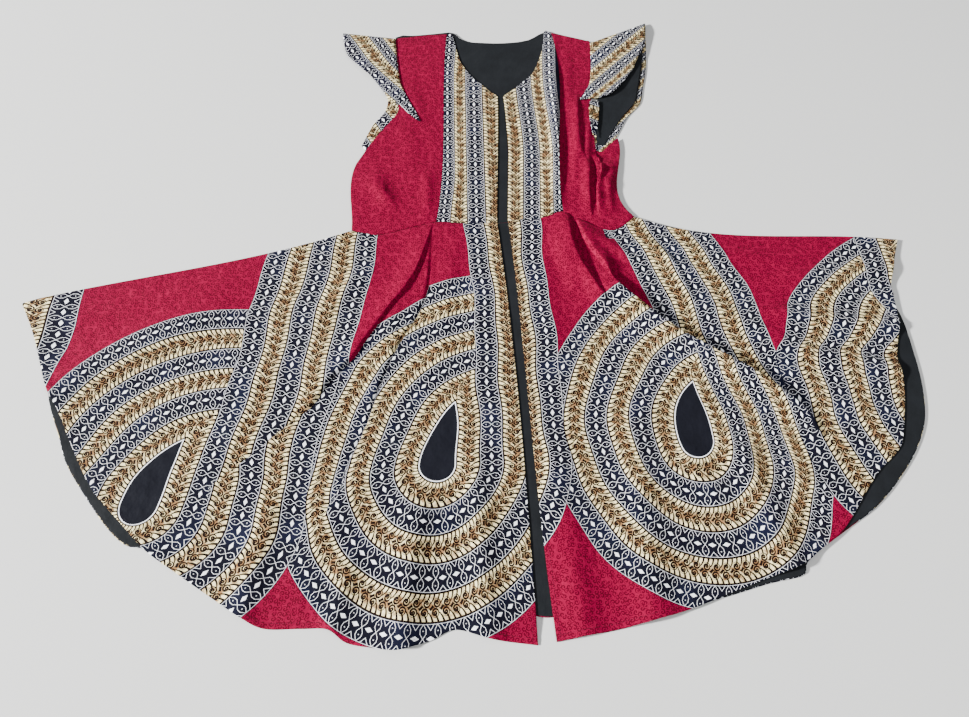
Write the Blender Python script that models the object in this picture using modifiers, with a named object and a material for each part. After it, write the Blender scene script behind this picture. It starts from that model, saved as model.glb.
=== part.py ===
"""A front-opening print dress laid flat on its back, in metres, +Z up and the neck towards +Y."""

import math

import bpy
from mathutils import Vector

mm = 0.001
middle_x = 13
cloth = 1.5
lining = 1.0
gap = 0.3
back_top = cloth
lining_low = back_top + gap
front_low = lining_low + lining + gap
seam_half_gap = 0.2
waist_half_gap = 0.4

red = (0.62, 0.02, 0.10)
banded = (0.55, 0.42, 0.26)
black = (0.035, 0.042, 0.048)

# Each row is one line of the cloth, from the waist seam to its other edge: the hem of
# a skirt piece, or the armhole, shoulder or neck of a bodice piece. Where a front hem
# passes the back hem it drops to the table: 0 is not at all, 1 is all the way. The line
# can bow to its right, a third and two thirds along. What a row leaves out is 0.
panel_columns = ("waist_x", "waist_y", "edge_x", "edge_y", "drop", "bow_a", "bow_b")
skirt_front_left_rows = [
    (-179, 85, -686, -50, 1),
    (-172, 84, -654, -103, 0),
    (-164, 82, -616, -183, 0),
    (-156, 80, -583, -233, 0),
    (-147, 79, -552, -285, 0),
    (-136, 77, -510, -347, 0),
    (-123, 79, -461, -394, 0),
    (-108, 83, -419, -432, 0),
    (-95, 87, -372, -462, 0),
    (-82, 91, -325, -491, 1),
    (-69, 95, -279, -518, 1),
    (-58, 98, -247, -532, 1),
    (-45, 102, -200, -532, 1),
    (-31, 103, -164, -533, 1),
    (-20, 103, -139, -549, 1),
    (-6, 101, -105, -555, 1),
    (5, 100, -74, -558, 1),
    (17, 100, -49, -552, 1),
    (28, 100, -27, -545, 1),
    (38, 100, 3, -533, 1),
    (48, 100, 51, -545, 1),
    (60, 101, 108, -552, 1),
]
skirt_front_right_rows = [
    (78, 105, 132, -548, 1),
    (90, 106, 173, -540, 1),
    (101, 108, 212, -533, 1),
    (113, 109, 261, -521, 0.3),
    (124, 110, 311, -507, 0),
    (136, 112, 354, -491, 0),
    (148, 117, 406, -472, 0),
    (160, 122, 463, -451, 0),
    (171, 123, 493, -431, 0),
    (183, 115, 520, -412, 0),
    (194, 109, 535, -398, 0),
    (205, 103, 559, -368, 0),
    (217, 97, 577, -344, 0),
    (228, 92, 599, -319, 0),
    (239, 87, 630, -291, 0),
    (247, 88, 643, -267, 0),
    (256, 90, 662, -192, 0),
    (262, 91, 661, -152, 0),
    (269, 93, 678, -84, 0),
    (276, 101, 682, -34, 0),
    (282, 107, 684, -10, 0),
    (287, 113, 712, 67, 0),
]
skirt_back_rows = [
    (-177, 84, -640, -52, 0),
    (-166, 83, -628, -112, 0),
    (-156, 82, -607, -206, 0),
    (-144, 82, -575, -271, 0),
    (-133, 82, -554, -313, 0),
    (-120, 84, -503, -375, 0),
    (-107, 84, -470, -409, 0),
    (-92, 86, -439, -428, 0),
    (-77, 86, -366, -432, 0),
    (-41, 88, -225, -480, 0),
    (-18, 90, -151, -495, 0),
    (7, 90, -72, -503, 0),
    (32, 90, 7, -497, 0),
    (60, 92, 106, -516, 0),
    (78, 92, 131, -517, 0),
    (98, 94, 203, -500, 0),
    (117, 94, 262, -489, 0),
    (136, 96, 322, -499, 0),
    (154, 96, 358, -492, 0),
    (172, 96, 417, -475, 0),
    (185, 96, 464, -465, 0),
    (194, 96, 472, -449, 0),
    (202, 96, 487, -435, 0),
    (210, 96, 527, -409, 0),
    (218, 96, 550, -394, 0),
    (227, 96, 579, -375, 0),
    (235, 96, 612, -345, 0),
    (243, 96, 650, -301, 0),
    (250, 98, 674, -262, 0),
    (256, 98, 686, -227, 0),
    (263, 100, 692, -172, 0),
    (272, 102, 689, -84, 0),
    (278, 104, 680, -34, 0),
    (284, 107, 702, 60, 0),
]

side_front_left_rows = [
    (-179, 85, -181, 223),
    (-167, 83, -153, 278),
    (-154, 81, -120, 328),
    (-139, 78, -109, 358),
    (-124, 80, -128, 514, 0, 6, 18),
    (-106, 84, -104, 522, 0, 4, 11),
    (-86, 91, -79, 526, 0, 2, 6),
    (-64, 98, -55, 528, 0, 1, 3),
    (-40, 104, -32, 530),
]
centre_front_left_rows = [
    (-40, 104, -32, 530),
    (-31, 103, -22, 529),
    (-18, 102, -14, 492),
    (-6, 101, -5, 458),
    (10, 100, 12, 428),
    (27, 100, 29, 409),
    (43, 100, 45, 391),
    (60, 101, 63, 375),
]
centre_front_right_rows = [
    (78, 105, 73, 375),
    (96, 107, 98, 399),
    (114, 109, 113, 414),
    (133, 111, 126, 428),
    (140, 114, 137, 455),
    (147, 117, 147, 491),
    (158, 121, 152, 539),
    (170, 125, 165, 534),
]
side_front_right_rows = [
    (170, 125, 165, 534),
    (184, 115, 186, 527, 0, -1, -1),
    (198, 107, 206, 521, 0, -3, -3),
    (211, 100, 227, 514, 0, -5, -6),
    (222, 94, 238, 506, 0, -5, -8),
    (234, 89, 229, 363, 0, -3, -3),
    (248, 88, 231, 254),
    (258, 90, 243, 249),
    (272, 96, 258, 266),
    (287, 113, 272, 279),
]
bodice_back_rows = [
    (-177, 87, -179, 221),
    (-164, 87, -153, 276),
    (-151, 87, -121, 326),
    (-136, 87, -110, 357),
    (-120, 87, -130, 523, 0, 8, 22),
    (-88, 89, -93, 529, 0, 4, 12),
    (-51, 91, -53, 534, 0, 2, 5),
    (-23, 91, -23, 538),
    (-5, 93, -7, 521),
    (15, 93, 12, 512),
    (60, 95, 63, 509),
    (98, 97, 100, 512),
    (117, 97, 125, 519),
    (139, 99, 151, 538),
    (162, 101, 182, 531, 0, -3, -3),
    (184, 101, 210, 521, 0, -5, -6),
    (208, 101, 237, 508, 0, -6, -9),
    (222, 101, 228, 362, 0, -3, -3),
    (241, 99, 231, 254),
    (252, 103, 243, 249),
    (270, 109, 258, 266),
    (285, 114, 271, 278),
]

# The front waist seam, x and y from left to right, which the bodice and the skirt share.
waist_rows = [
    (-182, 86),
    (-156, 80),
    (-136, 77),
    (-108, 83),
    (-58, 98),
    (-31, 103),
    (5, 100),
    (60, 101),
    (78, 105),
    (136, 112),
    (160, 122),
    (171, 123),
    (183, 115),
    (205, 103),
    (239, 87),
    (262, 91),
    (287, 113),
    (290, 115),
]

# How far an edge bows to the right of a straight line, a third and two thirds along.
bow_columns = ("piece", "first_a", "first_b", "last_a", "last_b")
bow_rows = [
    ("skirt_front_left", -8.8, -3.1, -6.0, -5.0),
    ("skirt_front_right", -0.7, 2.3, 19.6, 8.3),
    ("skirt_back", -7.0, -3.0, 20.0, 9.0),
    ("side_front_left", -3.3, -7.0, 4.9, 0.2),
    ("centre_front_left", 4.9, 0.2, 0.3, 0.6),
    ("centre_front_right", 2.3, 4.0, 0.6, 9.0),
    ("side_front_right", 0.6, 9.0, -14.1, -8.3),
    ("bodice_back", 3.3, 7.0, -14.1, -8.3),
]

# Each fold is a ridge on a line from one point to another. Its two sides can differ,
# and an open end runs on at full height.
fold_columns = ("piece", "x0", "y0", "x1", "y1", "height", "left", "right", "open_end")
fold_rows = [
    ("skirt_front_left", -46, 97, -240, -245, 13, 24, 11, 0),
    ("skirt_front_left", -215, -215, -351, -342, 8, 30, 14, 0),
    ("skirt_front_left", -100, -175, -179, -379, 6, 16, 20, 0),
    ("skirt_front_left", -50, -330, -72, -562, 9, 22, 26, 1),
    ("skirt_front_left", -140, -420, -160, -540, 4, 16, 16, 1),
    ("skirt_front_left", -330, -40, -620, -215, 6, 24, 30, 1),
    ("skirt_front_left", -250, -330, -280, -518, 5, 20, 24, 1),
    ("skirt_front_left", 20, -250, 45, -545, 5, 18, 18, 1),
    ("skirt_front_right", 178, 116, 246, -4, 13, 12, 15, 0),
    ("skirt_front_right", 236, 6, 400, -118, 9, 12, 12, 0),
    ("skirt_front_right", 380, -104, 525, -262, 7, 14, 12, 0),
    ("skirt_front_right", 430, -60, 680, -92, 5, 13, 13, 1),
    ("skirt_front_right", 450, -120, 664, -166, 5, 14, 13, 1),
    ("skirt_front_right", 470, -10, 690, 10, 4, 16, 16, 1),
    ("skirt_front_right", 250, -200, 262, -522, 6, 26, 26, 1),
    ("skirt_front_right", 380, -230, 455, -455, 6, 24, 24, 1),
    ("skirt_front_right", 120, -200, 170, -542, 4, 22, 22, 1),
    ("side_front_left", -172, 212, -100, 119, 4, 11, 13, 0),
    ("side_front_left", -58, 230, -56, 100, 3, 9, 9, 0),
    ("side_front_right", 190, 390, 211, 250, 5, 9, 8, 0),
    ("side_front_right", 208, 268, 234, 165, 7, 8, 9, 0),
    ("side_front_right", 232, 200, 222, 100, 6, 8, 9, 0),
    ("side_front_right", 262, 240, 236, 172, 5, 9, 9, 0),
]

# Each sleeve is one piece folded over at its top edge. A row is one line of it from
# the armhole outwards, and the heights are those of the middle of the cloth.
sleeve_columns = ("arm_x", "arm_y", "out_x", "out_y", "arm_z", "out_z")
sleeve_left_rows = [
    (-74, 319, -93, 329, 6.2, 6.0),
    (-91, 354, -118, 336, 6.0, 6.4),
    (-108, 385, -132, 372, 6.0, 7.2),
    (-118, 404, -156, 409, 5.6, 4.8),
    (-125, 428, -187, 441, 5.2, 7.4),
    (-129, 456, -216, 476, 5.2, 4.6),
    (-132, 482, -226, 512, 4.9, 6.6),
    (-131, 512, -228, 530, 4.2, 4.2),
    (-134, 513, -222, 527, 0.75, 0.75),
    (-134, 474, -206, 480, 0.75, 0.75),
    (-127, 408, -168, 426, 0.75, 0.75),
    (-118, 361, -136, 374, 0.75, 0.75),
    (-124, 330, -139, 341, 0.75, 0.75),
    (-144, 301, -157, 313, 0.75, 0.75),
    (-159, 278, -168, 288, 0.75, 0.75),
    (-171, 256, -175, 264, 0.75, 0.75),
]
sleeve_right_rows = [
    (211, 367, 245, 372, 6.0, 6.2),
    (217, 375, 262, 377, 6.0, 6.8),
    (227, 387, 280, 392, 6.0, 7.6),
    (237, 404, 311, 438, 5.6, 5.4),
    (240, 428, 323, 468, 5.2, 8.2),
    (241, 453, 339, 501, 5.2, 5.2),
    (242, 478, 343, 535, 4.9, 7.4),
    (242, 503, 345, 556, 4.4, 4.4),
    (243, 501, 344, 553, 0.75, 0.75),
    (242, 453, 342, 499, 0.75, 0.75),
    (241, 404, 337, 446, 0.75, 0.75),
    (242, 370, 328, 401, 0.75, 0.75),
    (242, 344, 319, 361, 0.75, 0.75),
    (241, 301, 293, 328, 0.75, 0.75),
    (236, 278, 268, 285, 0.75, 0.75),
    (238, 258, 247, 257, 0.75, 0.75),
]
sleeve_lining_rows = [
    (245, 497, 340, 545, 2.3, 2.3),
    (245, 453, 339, 498, 2.3, 2.3),
    (244, 404, 334, 446, 2.3, 2.3),
    (245, 370, 325, 401, 2.3, 2.3),
    (245, 344, 316, 361, 2.3, 2.3),
    (244, 301, 290, 328, 2.3, 2.3),
    (241, 281, 266, 287, 2.3, 2.3),
    (241, 261, 249, 260, 2.3, 2.3),
]
sleeve_end_rows = [
    (229, 363, 244, 361, 6.0, 5.5),
    (226, 350, 243, 340, 6.5, 5.4),
    (225, 328, 240, 314, 7.5, 5.4),
    (226, 301, 236, 292, 8.5, 5.4),
    (228, 284, 234, 279, 8.5, 6.0),
]


def by_name(columns, row):
    return dict(zip(columns, row))


def smooth(value):
    value = min(1.0, max(0.0, value))
    return value * value * (3 - 2 * value)


def filled(rows):
    """The rows with a 0 in each place that they leave out."""
    return [tuple(row) + (0,) * (len(panel_columns) - len(row)) for row in rows]


def spaced(rows, per_gap):
    """The rows with more of them put in between, on straight lines."""
    result = []
    for first, second in zip(rows, rows[1:]):
        for step in range(per_gap):
            share = step / per_gap
            result.append([a + (b - a) * share for a, b in zip(first, second)])
    result.append([float(value) for value in rows[-1]])
    return result


def rounded(rows, per_gap):
    """The rows with more of them put in between, on smooth curves through them."""
    result = []
    for index in range(len(rows) - 1):
        before = rows[max(index - 1, 0)]
        first = rows[index]
        second = rows[index + 1]
        after = rows[min(index + 2, len(rows) - 1)]
        for step in range(per_gap):
            t = step / per_gap
            made = []
            for p, a, b, q in zip(before, first, second, after):
                curve = 2 * a + (b - p) * t
                curve += (2 * p - 5 * a + 4 * b - q) * t * t
                curve += (3 * a - p - 3 * b + q) * t * t * t
                made.append(curve / 2)
            result.append(made)
    result.append([float(value) for value in rows[-1]])
    return result


def waist_height(x):
    for (x0, y0), (x1, y1) in zip(waist_line, waist_line[1:]):
        if x0 <= x <= x1:
            return y0 + (y1 - y0) * (x - x0) / (x1 - x0)
    return waist_line[0][1] if x < waist_line[0][0] else waist_line[-1][1]


def back_waist_height(x):
    (x0, y0), (x1, y1) = waist_rows[0], waist_rows[-1]
    return y0 + (y1 - y0) * (x - x0) / (x1 - x0)


def bow_at(first, second, along):
    near = 13.5 * along * (along - 2 / 3) * (along - 1)
    far = -13.5 * along * (along - 1 / 3) * (along - 1)
    return first * near + second * far


def fold_height(piece, x, y):
    total = 0.0
    for row in fold_rows:
        fold = by_name(fold_columns, row)
        if fold["piece"] != piece:
            continue
        run = Vector((fold["x1"] - fold["x0"], fold["y1"] - fold["y0"]))
        length = run.length
        run.normalize()
        offset = Vector((x - fold["x0"], y - fold["y0"]))
        along = offset.dot(run) / length
        across = run.x * offset.y - run.y * offset.x
        width = fold["left"] if across > 0 else fold["right"]
        fade = smooth(along / 0.35)
        if not fold["open_end"]:
            fade *= smooth((1 - along) / 0.35)
        total += fold["height"] * fade * math.exp(-((across / width) ** 2))
    return total


def bows_of(piece):
    for row in bow_rows:
        bow = by_name(bow_columns, row)
        if bow["piece"] == piece.removesuffix("_lining"):
            return bow
    return by_name(bow_columns, (piece, 0, 0, 0, 0))


def panel_points(piece, rows, shares):
    """Plan points of a piece: one line for each row, one point for each share of its length."""
    bows = bows_of(piece)
    lines = []
    for index, row in enumerate(rows):
        across = index / (len(rows) - 1)
        ends = by_name(panel_columns, row)
        start = Vector((ends["waist_x"], ends["waist_y"]))
        end = Vector((ends["edge_x"], ends["edge_y"]))
        run = end - start
        side = Vector((run.y, -run.x)).normalized()
        near_first = (1 - across) ** 3
        near_last = across**3
        line = []
        for share in shares:
            bow = bow_at(bows["first_a"], bows["first_b"], share) * near_first
            bow += bow_at(bows["last_a"], bows["last_b"], share) * near_last
            bow += bow_at(ends["bow_a"], ends["bow_b"], share)
            line.append(start + run * share + side * bow)
        lines.append(line)
    return lines


def add_mesh(name, points, faces, colour, finish):
    """A mesh object from points in millimetres, moved so that the dress is centred."""
    points = [((x - middle_x) * mm, y * mm, z * mm) for x, y, z in points]
    mesh = bpy.data.meshes.new(name)
    mesh.from_pydata(points, [], faces)
    mesh.update()
    obj = bpy.data.objects.new(name, mesh)
    dress.objects.link(obj)
    mesh.materials.append(fabric(finish, colour))
    return obj


def fabric(name, colour):
    if name in bpy.data.materials:
        return bpy.data.materials[name]
    material = bpy.data.materials.new(name)
    material.use_nodes = True
    shader = material.node_tree.nodes["Principled BSDF"]
    shader.inputs["Base Color"].default_value = (*colour, 1)
    shader.inputs["Roughness"].default_value = 0.85
    material.diffuse_color = (*colour, 1)
    return material


def walled(name, low, high, colour, finish):
    """A closed wall between two grids of points, one above the other."""
    rows = len(low)
    columns = len(low[0])
    points = [point for line in low + high for point in line]
    count = rows * columns

    def at(layer, row, column):
        return layer * count + row * columns + column

    faces = []
    for row in range(rows - 1):
        for column in range(columns - 1):
            corners = [(row, column), (row + 1, column), (row + 1, column + 1), (row, column + 1)]
            faces.append([at(0, *corner) for corner in corners])
            faces.append([at(1, *corner) for corner in reversed(corners)])
    rim = [(row, 0) for row in range(rows - 1)]
    rim += [(rows - 1, column) for column in range(columns - 1)]
    rim += [(row, columns - 1) for row in range(rows - 1, 0, -1)]
    rim += [(0, column) for column in range(columns - 1, 0, -1)]
    for here, there in zip(rim, rim[1:] + rim[:1]):
        faces.append([at(0, *here), at(1, *here), at(1, *there), at(0, *there)])
    obj = add_mesh(name, points, faces, colour, finish)
    turn_out(obj)
    return obj


def turn_out(obj):
    """Turns the faces to point out of the solid, whichever way the rows ran."""
    mesh = obj.data
    volume = 0.0
    for polygon in mesh.polygons:
        corners = [mesh.vertices[i].co for i in polygon.vertices]
        for second, third in zip(corners[1:], corners[2:]):
            volume += corners[0].dot(second.cross(third))
    if volume < 0:
        mesh.flip_normals()


def laid_panel(name, rows, shares, low, thick, colour, finish, skirt):
    """One piece of cloth on the table: flat below its folds, with a wall of even height."""
    rows = filled(rows)
    lines = panel_points(name, rows, shares)
    bottom = []
    top = []
    for row, line in zip(rows, lines):
        drop = by_name(panel_columns, row)["drop"]
        low_line = []
        high_line = []
        for share, point in zip(shares, line):
            x, y = point
            if share == 0:
                y = waist_height(x) if low >= front_low else back_waist_height(x)
                y += -waist_half_gap if skirt else waist_half_gap
            base = low
            if drop and share > 0.951:
                base = low * (1 - min(1.0, max(0.0, drop)) * (share - 0.95) / 0.05)
            base += fold_height(name, x, y)
            low_line.append((x, y, base))
            high_line.append((x, y, base + thick))
        bottom.append(low_line)
        top.append(high_line)
    return walled(name, bottom, top, colour, finish)


def inset_seam(rows, end, amount):
    """Moves the first or last row of a piece sideways, to leave the gap of a seam."""
    rows = [list(row) for row in rows]
    row = rows[end]
    row[0] += amount
    row[2] += amount
    return rows


def shortened(rows, amount):
    """The rows of a lining, which ends a little short of the printed cloth."""
    result = []
    for row in rows:
        start = Vector(row[0:2])
        end = Vector(row[2:4])
        end += (start - end).normalized() * amount
        result.append((*start, *end, *row[4:]))
    return result


def folded_sleeve(name, rows, fold_row, colour, finish):
    """A sleeve piece folded at its top edge, from the middle of its cloth."""
    columns = 7
    lines = []
    for index, row in enumerate(rows):
        sleeve = by_name(sleeve_columns, row)
        line = []
        for column in range(columns):
            share = column / (columns - 1)
            x = sleeve["arm_x"] + (sleeve["out_x"] - sleeve["arm_x"]) * share
            y = sleeve["arm_y"] + (sleeve["out_y"] - sleeve["arm_y"]) * share
            z = sleeve["arm_z"] + (sleeve["out_z"] - sleeve["arm_z"]) * smooth(share)
            line.append((x, y, z))
        lines.append(line)
        if index == fold_row:
            following = by_name(sleeve_columns, rows[index + 1])
            bend = []
            for column in range(columns):
                share = column / (columns - 1)
                x, y, z = line[column]
                low = following["arm_z"] + (following["out_z"] - following["arm_z"]) * share
                bend.append((x, y + (z - low) * 0.5, (z + low) / 2))
            lines.append(bend)
    points = [point for line in lines for point in line]
    faces = []
    for row in range(len(lines) - 1):
        for column in range(columns - 1):
            first = row * columns + column
            faces.append([first, first + 1, first + columns + 1, first + columns])
    obj = add_mesh(name, points, faces, colour, finish)
    wall = obj.modifiers.new("wall", "SOLIDIFY")
    wall.thickness = cloth * mm
    wall.offset = 0
    wall.use_even_offset = False
    return obj


def flat_sleeve_piece(name, rows, thick, colour, finish):
    bottom = []
    top = []
    for row in rows:
        sleeve = by_name(sleeve_columns, row)
        low_line = []
        high_line = []
        for column in range(5):
            share = column / 4
            x = sleeve["arm_x"] + (sleeve["out_x"] - sleeve["arm_x"]) * share
            y = sleeve["arm_y"] + (sleeve["out_y"] - sleeve["arm_y"]) * share
            z = sleeve["arm_z"] + (sleeve["out_z"] - sleeve["arm_z"]) * share
            low_line.append((x, y, z - thick / 2))
            high_line.append((x, y, z + thick / 2))
        bottom.append(low_line)
        top.append(high_line)
    return walled(name, bottom, top, colour, finish)


for old in list(bpy.data.objects):
    bpy.data.objects.remove(old)
dress = bpy.data.collections.new("Wax print dress")
bpy.context.scene.collection.children.link(dress)

waist_line = rounded(waist_rows, 6)
front_shares = [0.95 * step / 21 for step in range(22)] + [1]
back_shares = [0, 0.1, 0.2, 0.33, 0.5, 0.67, 0.83, 1]
bodice_shares = [step / 18 for step in range(19)]

laid_panel("skirt_back", skirt_back_rows, back_shares, 0, cloth, banded, "print", True)
laid_panel(
    "skirt_back_lining", shortened(skirt_back_rows, 3), back_shares, lining_low, lining, black, "lining", True
)
laid_panel("bodice_back", bodice_back_rows, back_shares, 0, cloth, banded, "print", False)
laid_panel(
    "bodice_back_lining", shortened(bodice_back_rows, 3), back_shares, lining_low, lining, black, "lining", False
)

laid_panel(
    "skirt_front_left",
    rounded(skirt_front_left_rows, 2),
    front_shares,
    front_low,
    cloth,
    banded,
    "print",
    True,
)
laid_panel(
    "skirt_front_right",
    rounded(skirt_front_right_rows, 2),
    front_shares,
    front_low,
    cloth,
    banded,
    "print",
    True,
)
bodice_pieces = [
    ("side_front_left", side_front_left_rows, -1, -seam_half_gap, red, "red_print"),
    ("centre_front_left", centre_front_left_rows, 0, seam_half_gap, banded, "print"),
    ("centre_front_right", centre_front_right_rows, -1, -seam_half_gap, banded, "print"),
    ("side_front_right", side_front_right_rows, 0, seam_half_gap, red, "red_print"),
]
for name, rows, end, amount, colour, finish in bodice_pieces:
    rows = spaced(filled(inset_seam(rows, end, amount)), 2)
    laid_panel(name, rows, bodice_shares, front_low, cloth, colour, finish, False)

folded_sleeve("sleeve_left", sleeve_left_rows, 7, banded, "print")
folded_sleeve("sleeve_right", sleeve_right_rows, 7, banded, "print")
flat_sleeve_piece("sleeve_right_lining", sleeve_lining_rows, lining, black, "lining")
flat_sleeve_piece("sleeve_right_end", sleeve_end_rows, cloth, banded, "print")
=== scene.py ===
import math

import bpy
import numpy as np
from mathutils import Matrix, Vector


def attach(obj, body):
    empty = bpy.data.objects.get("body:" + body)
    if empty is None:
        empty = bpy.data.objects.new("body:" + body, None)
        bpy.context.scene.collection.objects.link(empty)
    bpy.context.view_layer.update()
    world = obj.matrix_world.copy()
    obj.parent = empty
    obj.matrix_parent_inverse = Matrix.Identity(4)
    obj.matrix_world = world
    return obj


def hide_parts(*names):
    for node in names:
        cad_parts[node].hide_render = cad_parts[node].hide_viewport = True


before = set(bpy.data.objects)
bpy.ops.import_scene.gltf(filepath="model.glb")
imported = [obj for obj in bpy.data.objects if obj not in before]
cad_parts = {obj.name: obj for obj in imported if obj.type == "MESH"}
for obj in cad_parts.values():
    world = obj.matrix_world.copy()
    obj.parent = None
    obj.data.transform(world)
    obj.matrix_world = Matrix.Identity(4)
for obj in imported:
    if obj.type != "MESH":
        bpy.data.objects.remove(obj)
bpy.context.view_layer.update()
print("frame loaded:", len(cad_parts), "cloth pieces")

mm = 0.001
middleX = 13  # the tables are in mm, with the dress 13 mm right of centre
liningLow, frontLow = 1.8, 3.1  # how high the back linings and the fronts lie
seamHalfGap, waistHalfGap = 0.2, 0.35  # between the pieces that meet at a seam
edgeSteps = (0.35, 1.0, 2.2, 6.0, 9.0, 10.4)  # how far in from an edge its closer points lie
hemWidth, hemRaise = 9.5, 0.35
waver = 2.2  # how far the print wanders from side to side

# A row is one line of the cloth from the waist seam to its other edge: x and y at both
# ends, how far it drops to the table at the edge, and how far it bows to its right a
# third and two thirds along. What a row leaves out is 0.
skirtFrontLeftRows = [
    (-179, 85, -686, -50, 1), (-172, 84, -654, -103), (-164, 82, -616, -183), (-156, 80, -583, -233),
    (-147, 79, -552, -285), (-136, 77, -510, -347), (-123, 79, -461, -394), (-108, 83, -419, -432),
    (-95, 87, -372, -462), (-82, 91, -325, -491, 1), (-69, 95, -279, -518, 1), (-58, 98, -247, -532, 1),
    (-45, 102, -200, -532, 1), (-31, 103, -164, -533, 1), (-20, 103, -139, -549, 1),
    (-6, 101, -105, -555, 1), (5, 100, -74, -558, 1), (17, 100, -49, -552, 1), (28, 100, -27, -545, 1),
    (38, 100, 3, -533, 1), (48, 100, 51, -545, 1), (60, 101, 108, -552, 1),
]
skirtFrontRightRows = [
    (78, 105, 132, -548, 1), (90, 106, 173, -540, 1), (101, 108, 212, -533, 1), (113, 109, 261, -521, 0.3),
    (124, 110, 311, -507), (136, 112, 354, -491), (148, 117, 406, -472), (160, 122, 463, -451),
    (171, 123, 493, -431), (183, 115, 520, -412), (194, 109, 535, -398), (205, 103, 559, -368),
    (217, 97, 577, -344), (228, 92, 599, -319), (239, 87, 630, -291), (247, 88, 643, -267),
    (256, 90, 662, -192), (262, 91, 661, -152), (269, 93, 678, -84), (276, 101, 682, -34),
    (282, 107, 684, -10), (287, 113, 712, 67),
]
skirtBackRows = [
    (-177, 84, -640, -52), (-166, 83, -628, -112), (-156, 82, -607, -206), (-144, 82, -575, -271),
    (-133, 82, -554, -313), (-120, 84, -503, -375), (-107, 84, -470, -409), (-92, 86, -439, -428),
    (-77, 86, -366, -432), (-41, 88, -225, -480), (-18, 90, -151, -495), (7, 90, -72, -503),
    (32, 90, 7, -497), (60, 92, 106, -516), (78, 92, 131, -517), (98, 94, 203, -500), (117, 94, 262, -489),
    (136, 96, 322, -499), (154, 96, 358, -492), (172, 96, 417, -475), (185, 96, 464, -465),
    (194, 96, 472, -449), (202, 96, 487, -435), (210, 96, 527, -409), (218, 96, 550, -394),
    (227, 96, 579, -375), (235, 96, 612, -345), (243, 96, 650, -301), (250, 98, 674, -262),
    (256, 98, 686, -227), (263, 100, 692, -172), (272, 102, 689, -84), (278, 104, 680, -34),
    (284, 107, 702, 60),
]
sideFrontLeftRows = [
    (-179, 85, -181, 223), (-167, 83, -153, 278), (-154, 81, -120, 328), (-139, 78, -109, 358),
    (-132, 79, -119, 405, 0, 3, 9), (-124, 80, -131, 514, 0, 6, 18), (-106, 84, -104, 522, 0, 4, 11),
    (-86, 91, -79, 526, 0, 2, 6), (-64, 98, -55, 528, 0, 1, 3), (-40, 104, -32, 530),
]
centreFrontLeftRows = [
    (-40, 104, -32, 530), (-31, 103, -22, 529), (-18, 102, -14, 492), (-6, 101, -5, 458),
    (10, 100, 12, 428), (27, 100, 29, 409), (43, 100, 45, 391), (60, 101, 63, 375),
]
centreFrontRightRows = [
    (78, 105, 73, 375), (96, 107, 98, 399), (114, 109, 113, 414), (133, 111, 126, 428),
    (140, 114, 137, 455), (147, 117, 147, 491), (158, 121, 152, 539), (170, 125, 165, 534),
]
sideFrontRightRows = [
    (170, 125, 165, 534), (184, 115, 186, 527, 0, -1, -1), (198, 107, 206, 521, 0, -3, -3),
    (211, 100, 227, 514, 0, -5, -6), (222, 94, 238, 506, 0, -5, -8), (234, 89, 229, 363, 0, -3, -3),
    (248, 88, 231, 254), (258, 90, 243, 249), (272, 96, 258, 266), (287, 113, 272, 279),
]
bodiceBackRows = [
    (-177, 87, -179, 221), (-164, 87, -153, 276), (-151, 87, -121, 326), (-136, 87, -110, 357),
    (-120, 87, -130, 523, 0, 8, 22), (-88, 89, -93, 529, 0, 4, 12), (-51, 91, -53, 534, 0, 2, 5),
    (-23, 91, -23, 538), (-5, 93, -7, 521), (15, 93, 12, 512), (60, 95, 63, 509), (98, 97, 100, 512),
    (117, 97, 125, 519), (139, 99, 151, 538), (162, 101, 182, 531, 0, -3, -3),
    (184, 101, 210, 521, 0, -5, -6), (208, 101, 237, 508, 0, -6, -9), (222, 101, 228, 362, 0, -3, -3),
    (241, 99, 231, 254), (252, 103, 243, 249), (270, 109, 258, 266), (285, 114, 271, 278),
]
waistRows = [
    (-182, 86), (-156, 80), (-136, 77), (-108, 83), (-58, 98), (-31, 103), (5, 100), (60, 101), (78, 105),
    (136, 112), (160, 122), (171, 123), (183, 115), (205, 103), (239, 87), (262, 91), (287, 113),
    (290, 115),
]
# How far the first and the last edge of a panel bow, a third and two thirds along.
bows = {
    "skirt_front_left": (-8.8, -3.1, -6, -5),
    "skirt_front_right": (-0.7, 2.3, 19.6, 8.3),
    "skirt_back": (-7, -3, 20, 9),
    "side_front_left": (-3.3, -7, 4.9, 0.2),
    "centre_front_left": (4.9, 0.2, 0.3, 0.6),
    "centre_front_right": (2.3, 4, 0.6, 9),
    "side_front_right": (0.6, 9, -19, -7),
    "bodice_back": (3.3, 7, -19, -7),
}
# Each fold is a ridge from one point to another, with its height and the width of its
# two sides; an open end runs on at full height.
folds = {
    "skirt_front_left": [
        (-50, -330, -72, -562, 9, 22, 26, 1), (-140, -420, -160, -540, 5, 16, 16, 1),
        (-330, -40, -620, -215, 6, 24, 30, 1), (-250, -330, -280, -518, 6, 20, 24, 1),
        (20, -250, 45, -545, 6, 18, 18, 1),
    ],
    "skirt_front_right": [
        (430, -60, 680, -92, 6, 13, 13, 1), (450, -120, 664, -166, 6, 14, 13, 1),
        (470, -10, 690, 10, 4, 16, 16, 1), (250, -200, 262, -522, 7, 26, 26, 1),
        (380, -230, 455, -455, 7, 24, 24, 1), (120, -200, 170, -542, 5, 22, 22, 1),
    ],
    "side_front_left": [(-172, 212, -100, 119, 4, 11, 13, 0), (-58, 230, -56, 100, 3, 9, 9, 0)],
    "side_front_right": [
        (199, 430, 210, 108, 3.5, 12, 10, 0), (168, 550, 165, 80, 8, 6, 14, 0),
        (262, 240, 246, 150, 4, 8, 9, 0),
    ],
    "centre_front_right": [(168, 550, 165, 80, 8, 6, 14, 0)],
}
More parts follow.
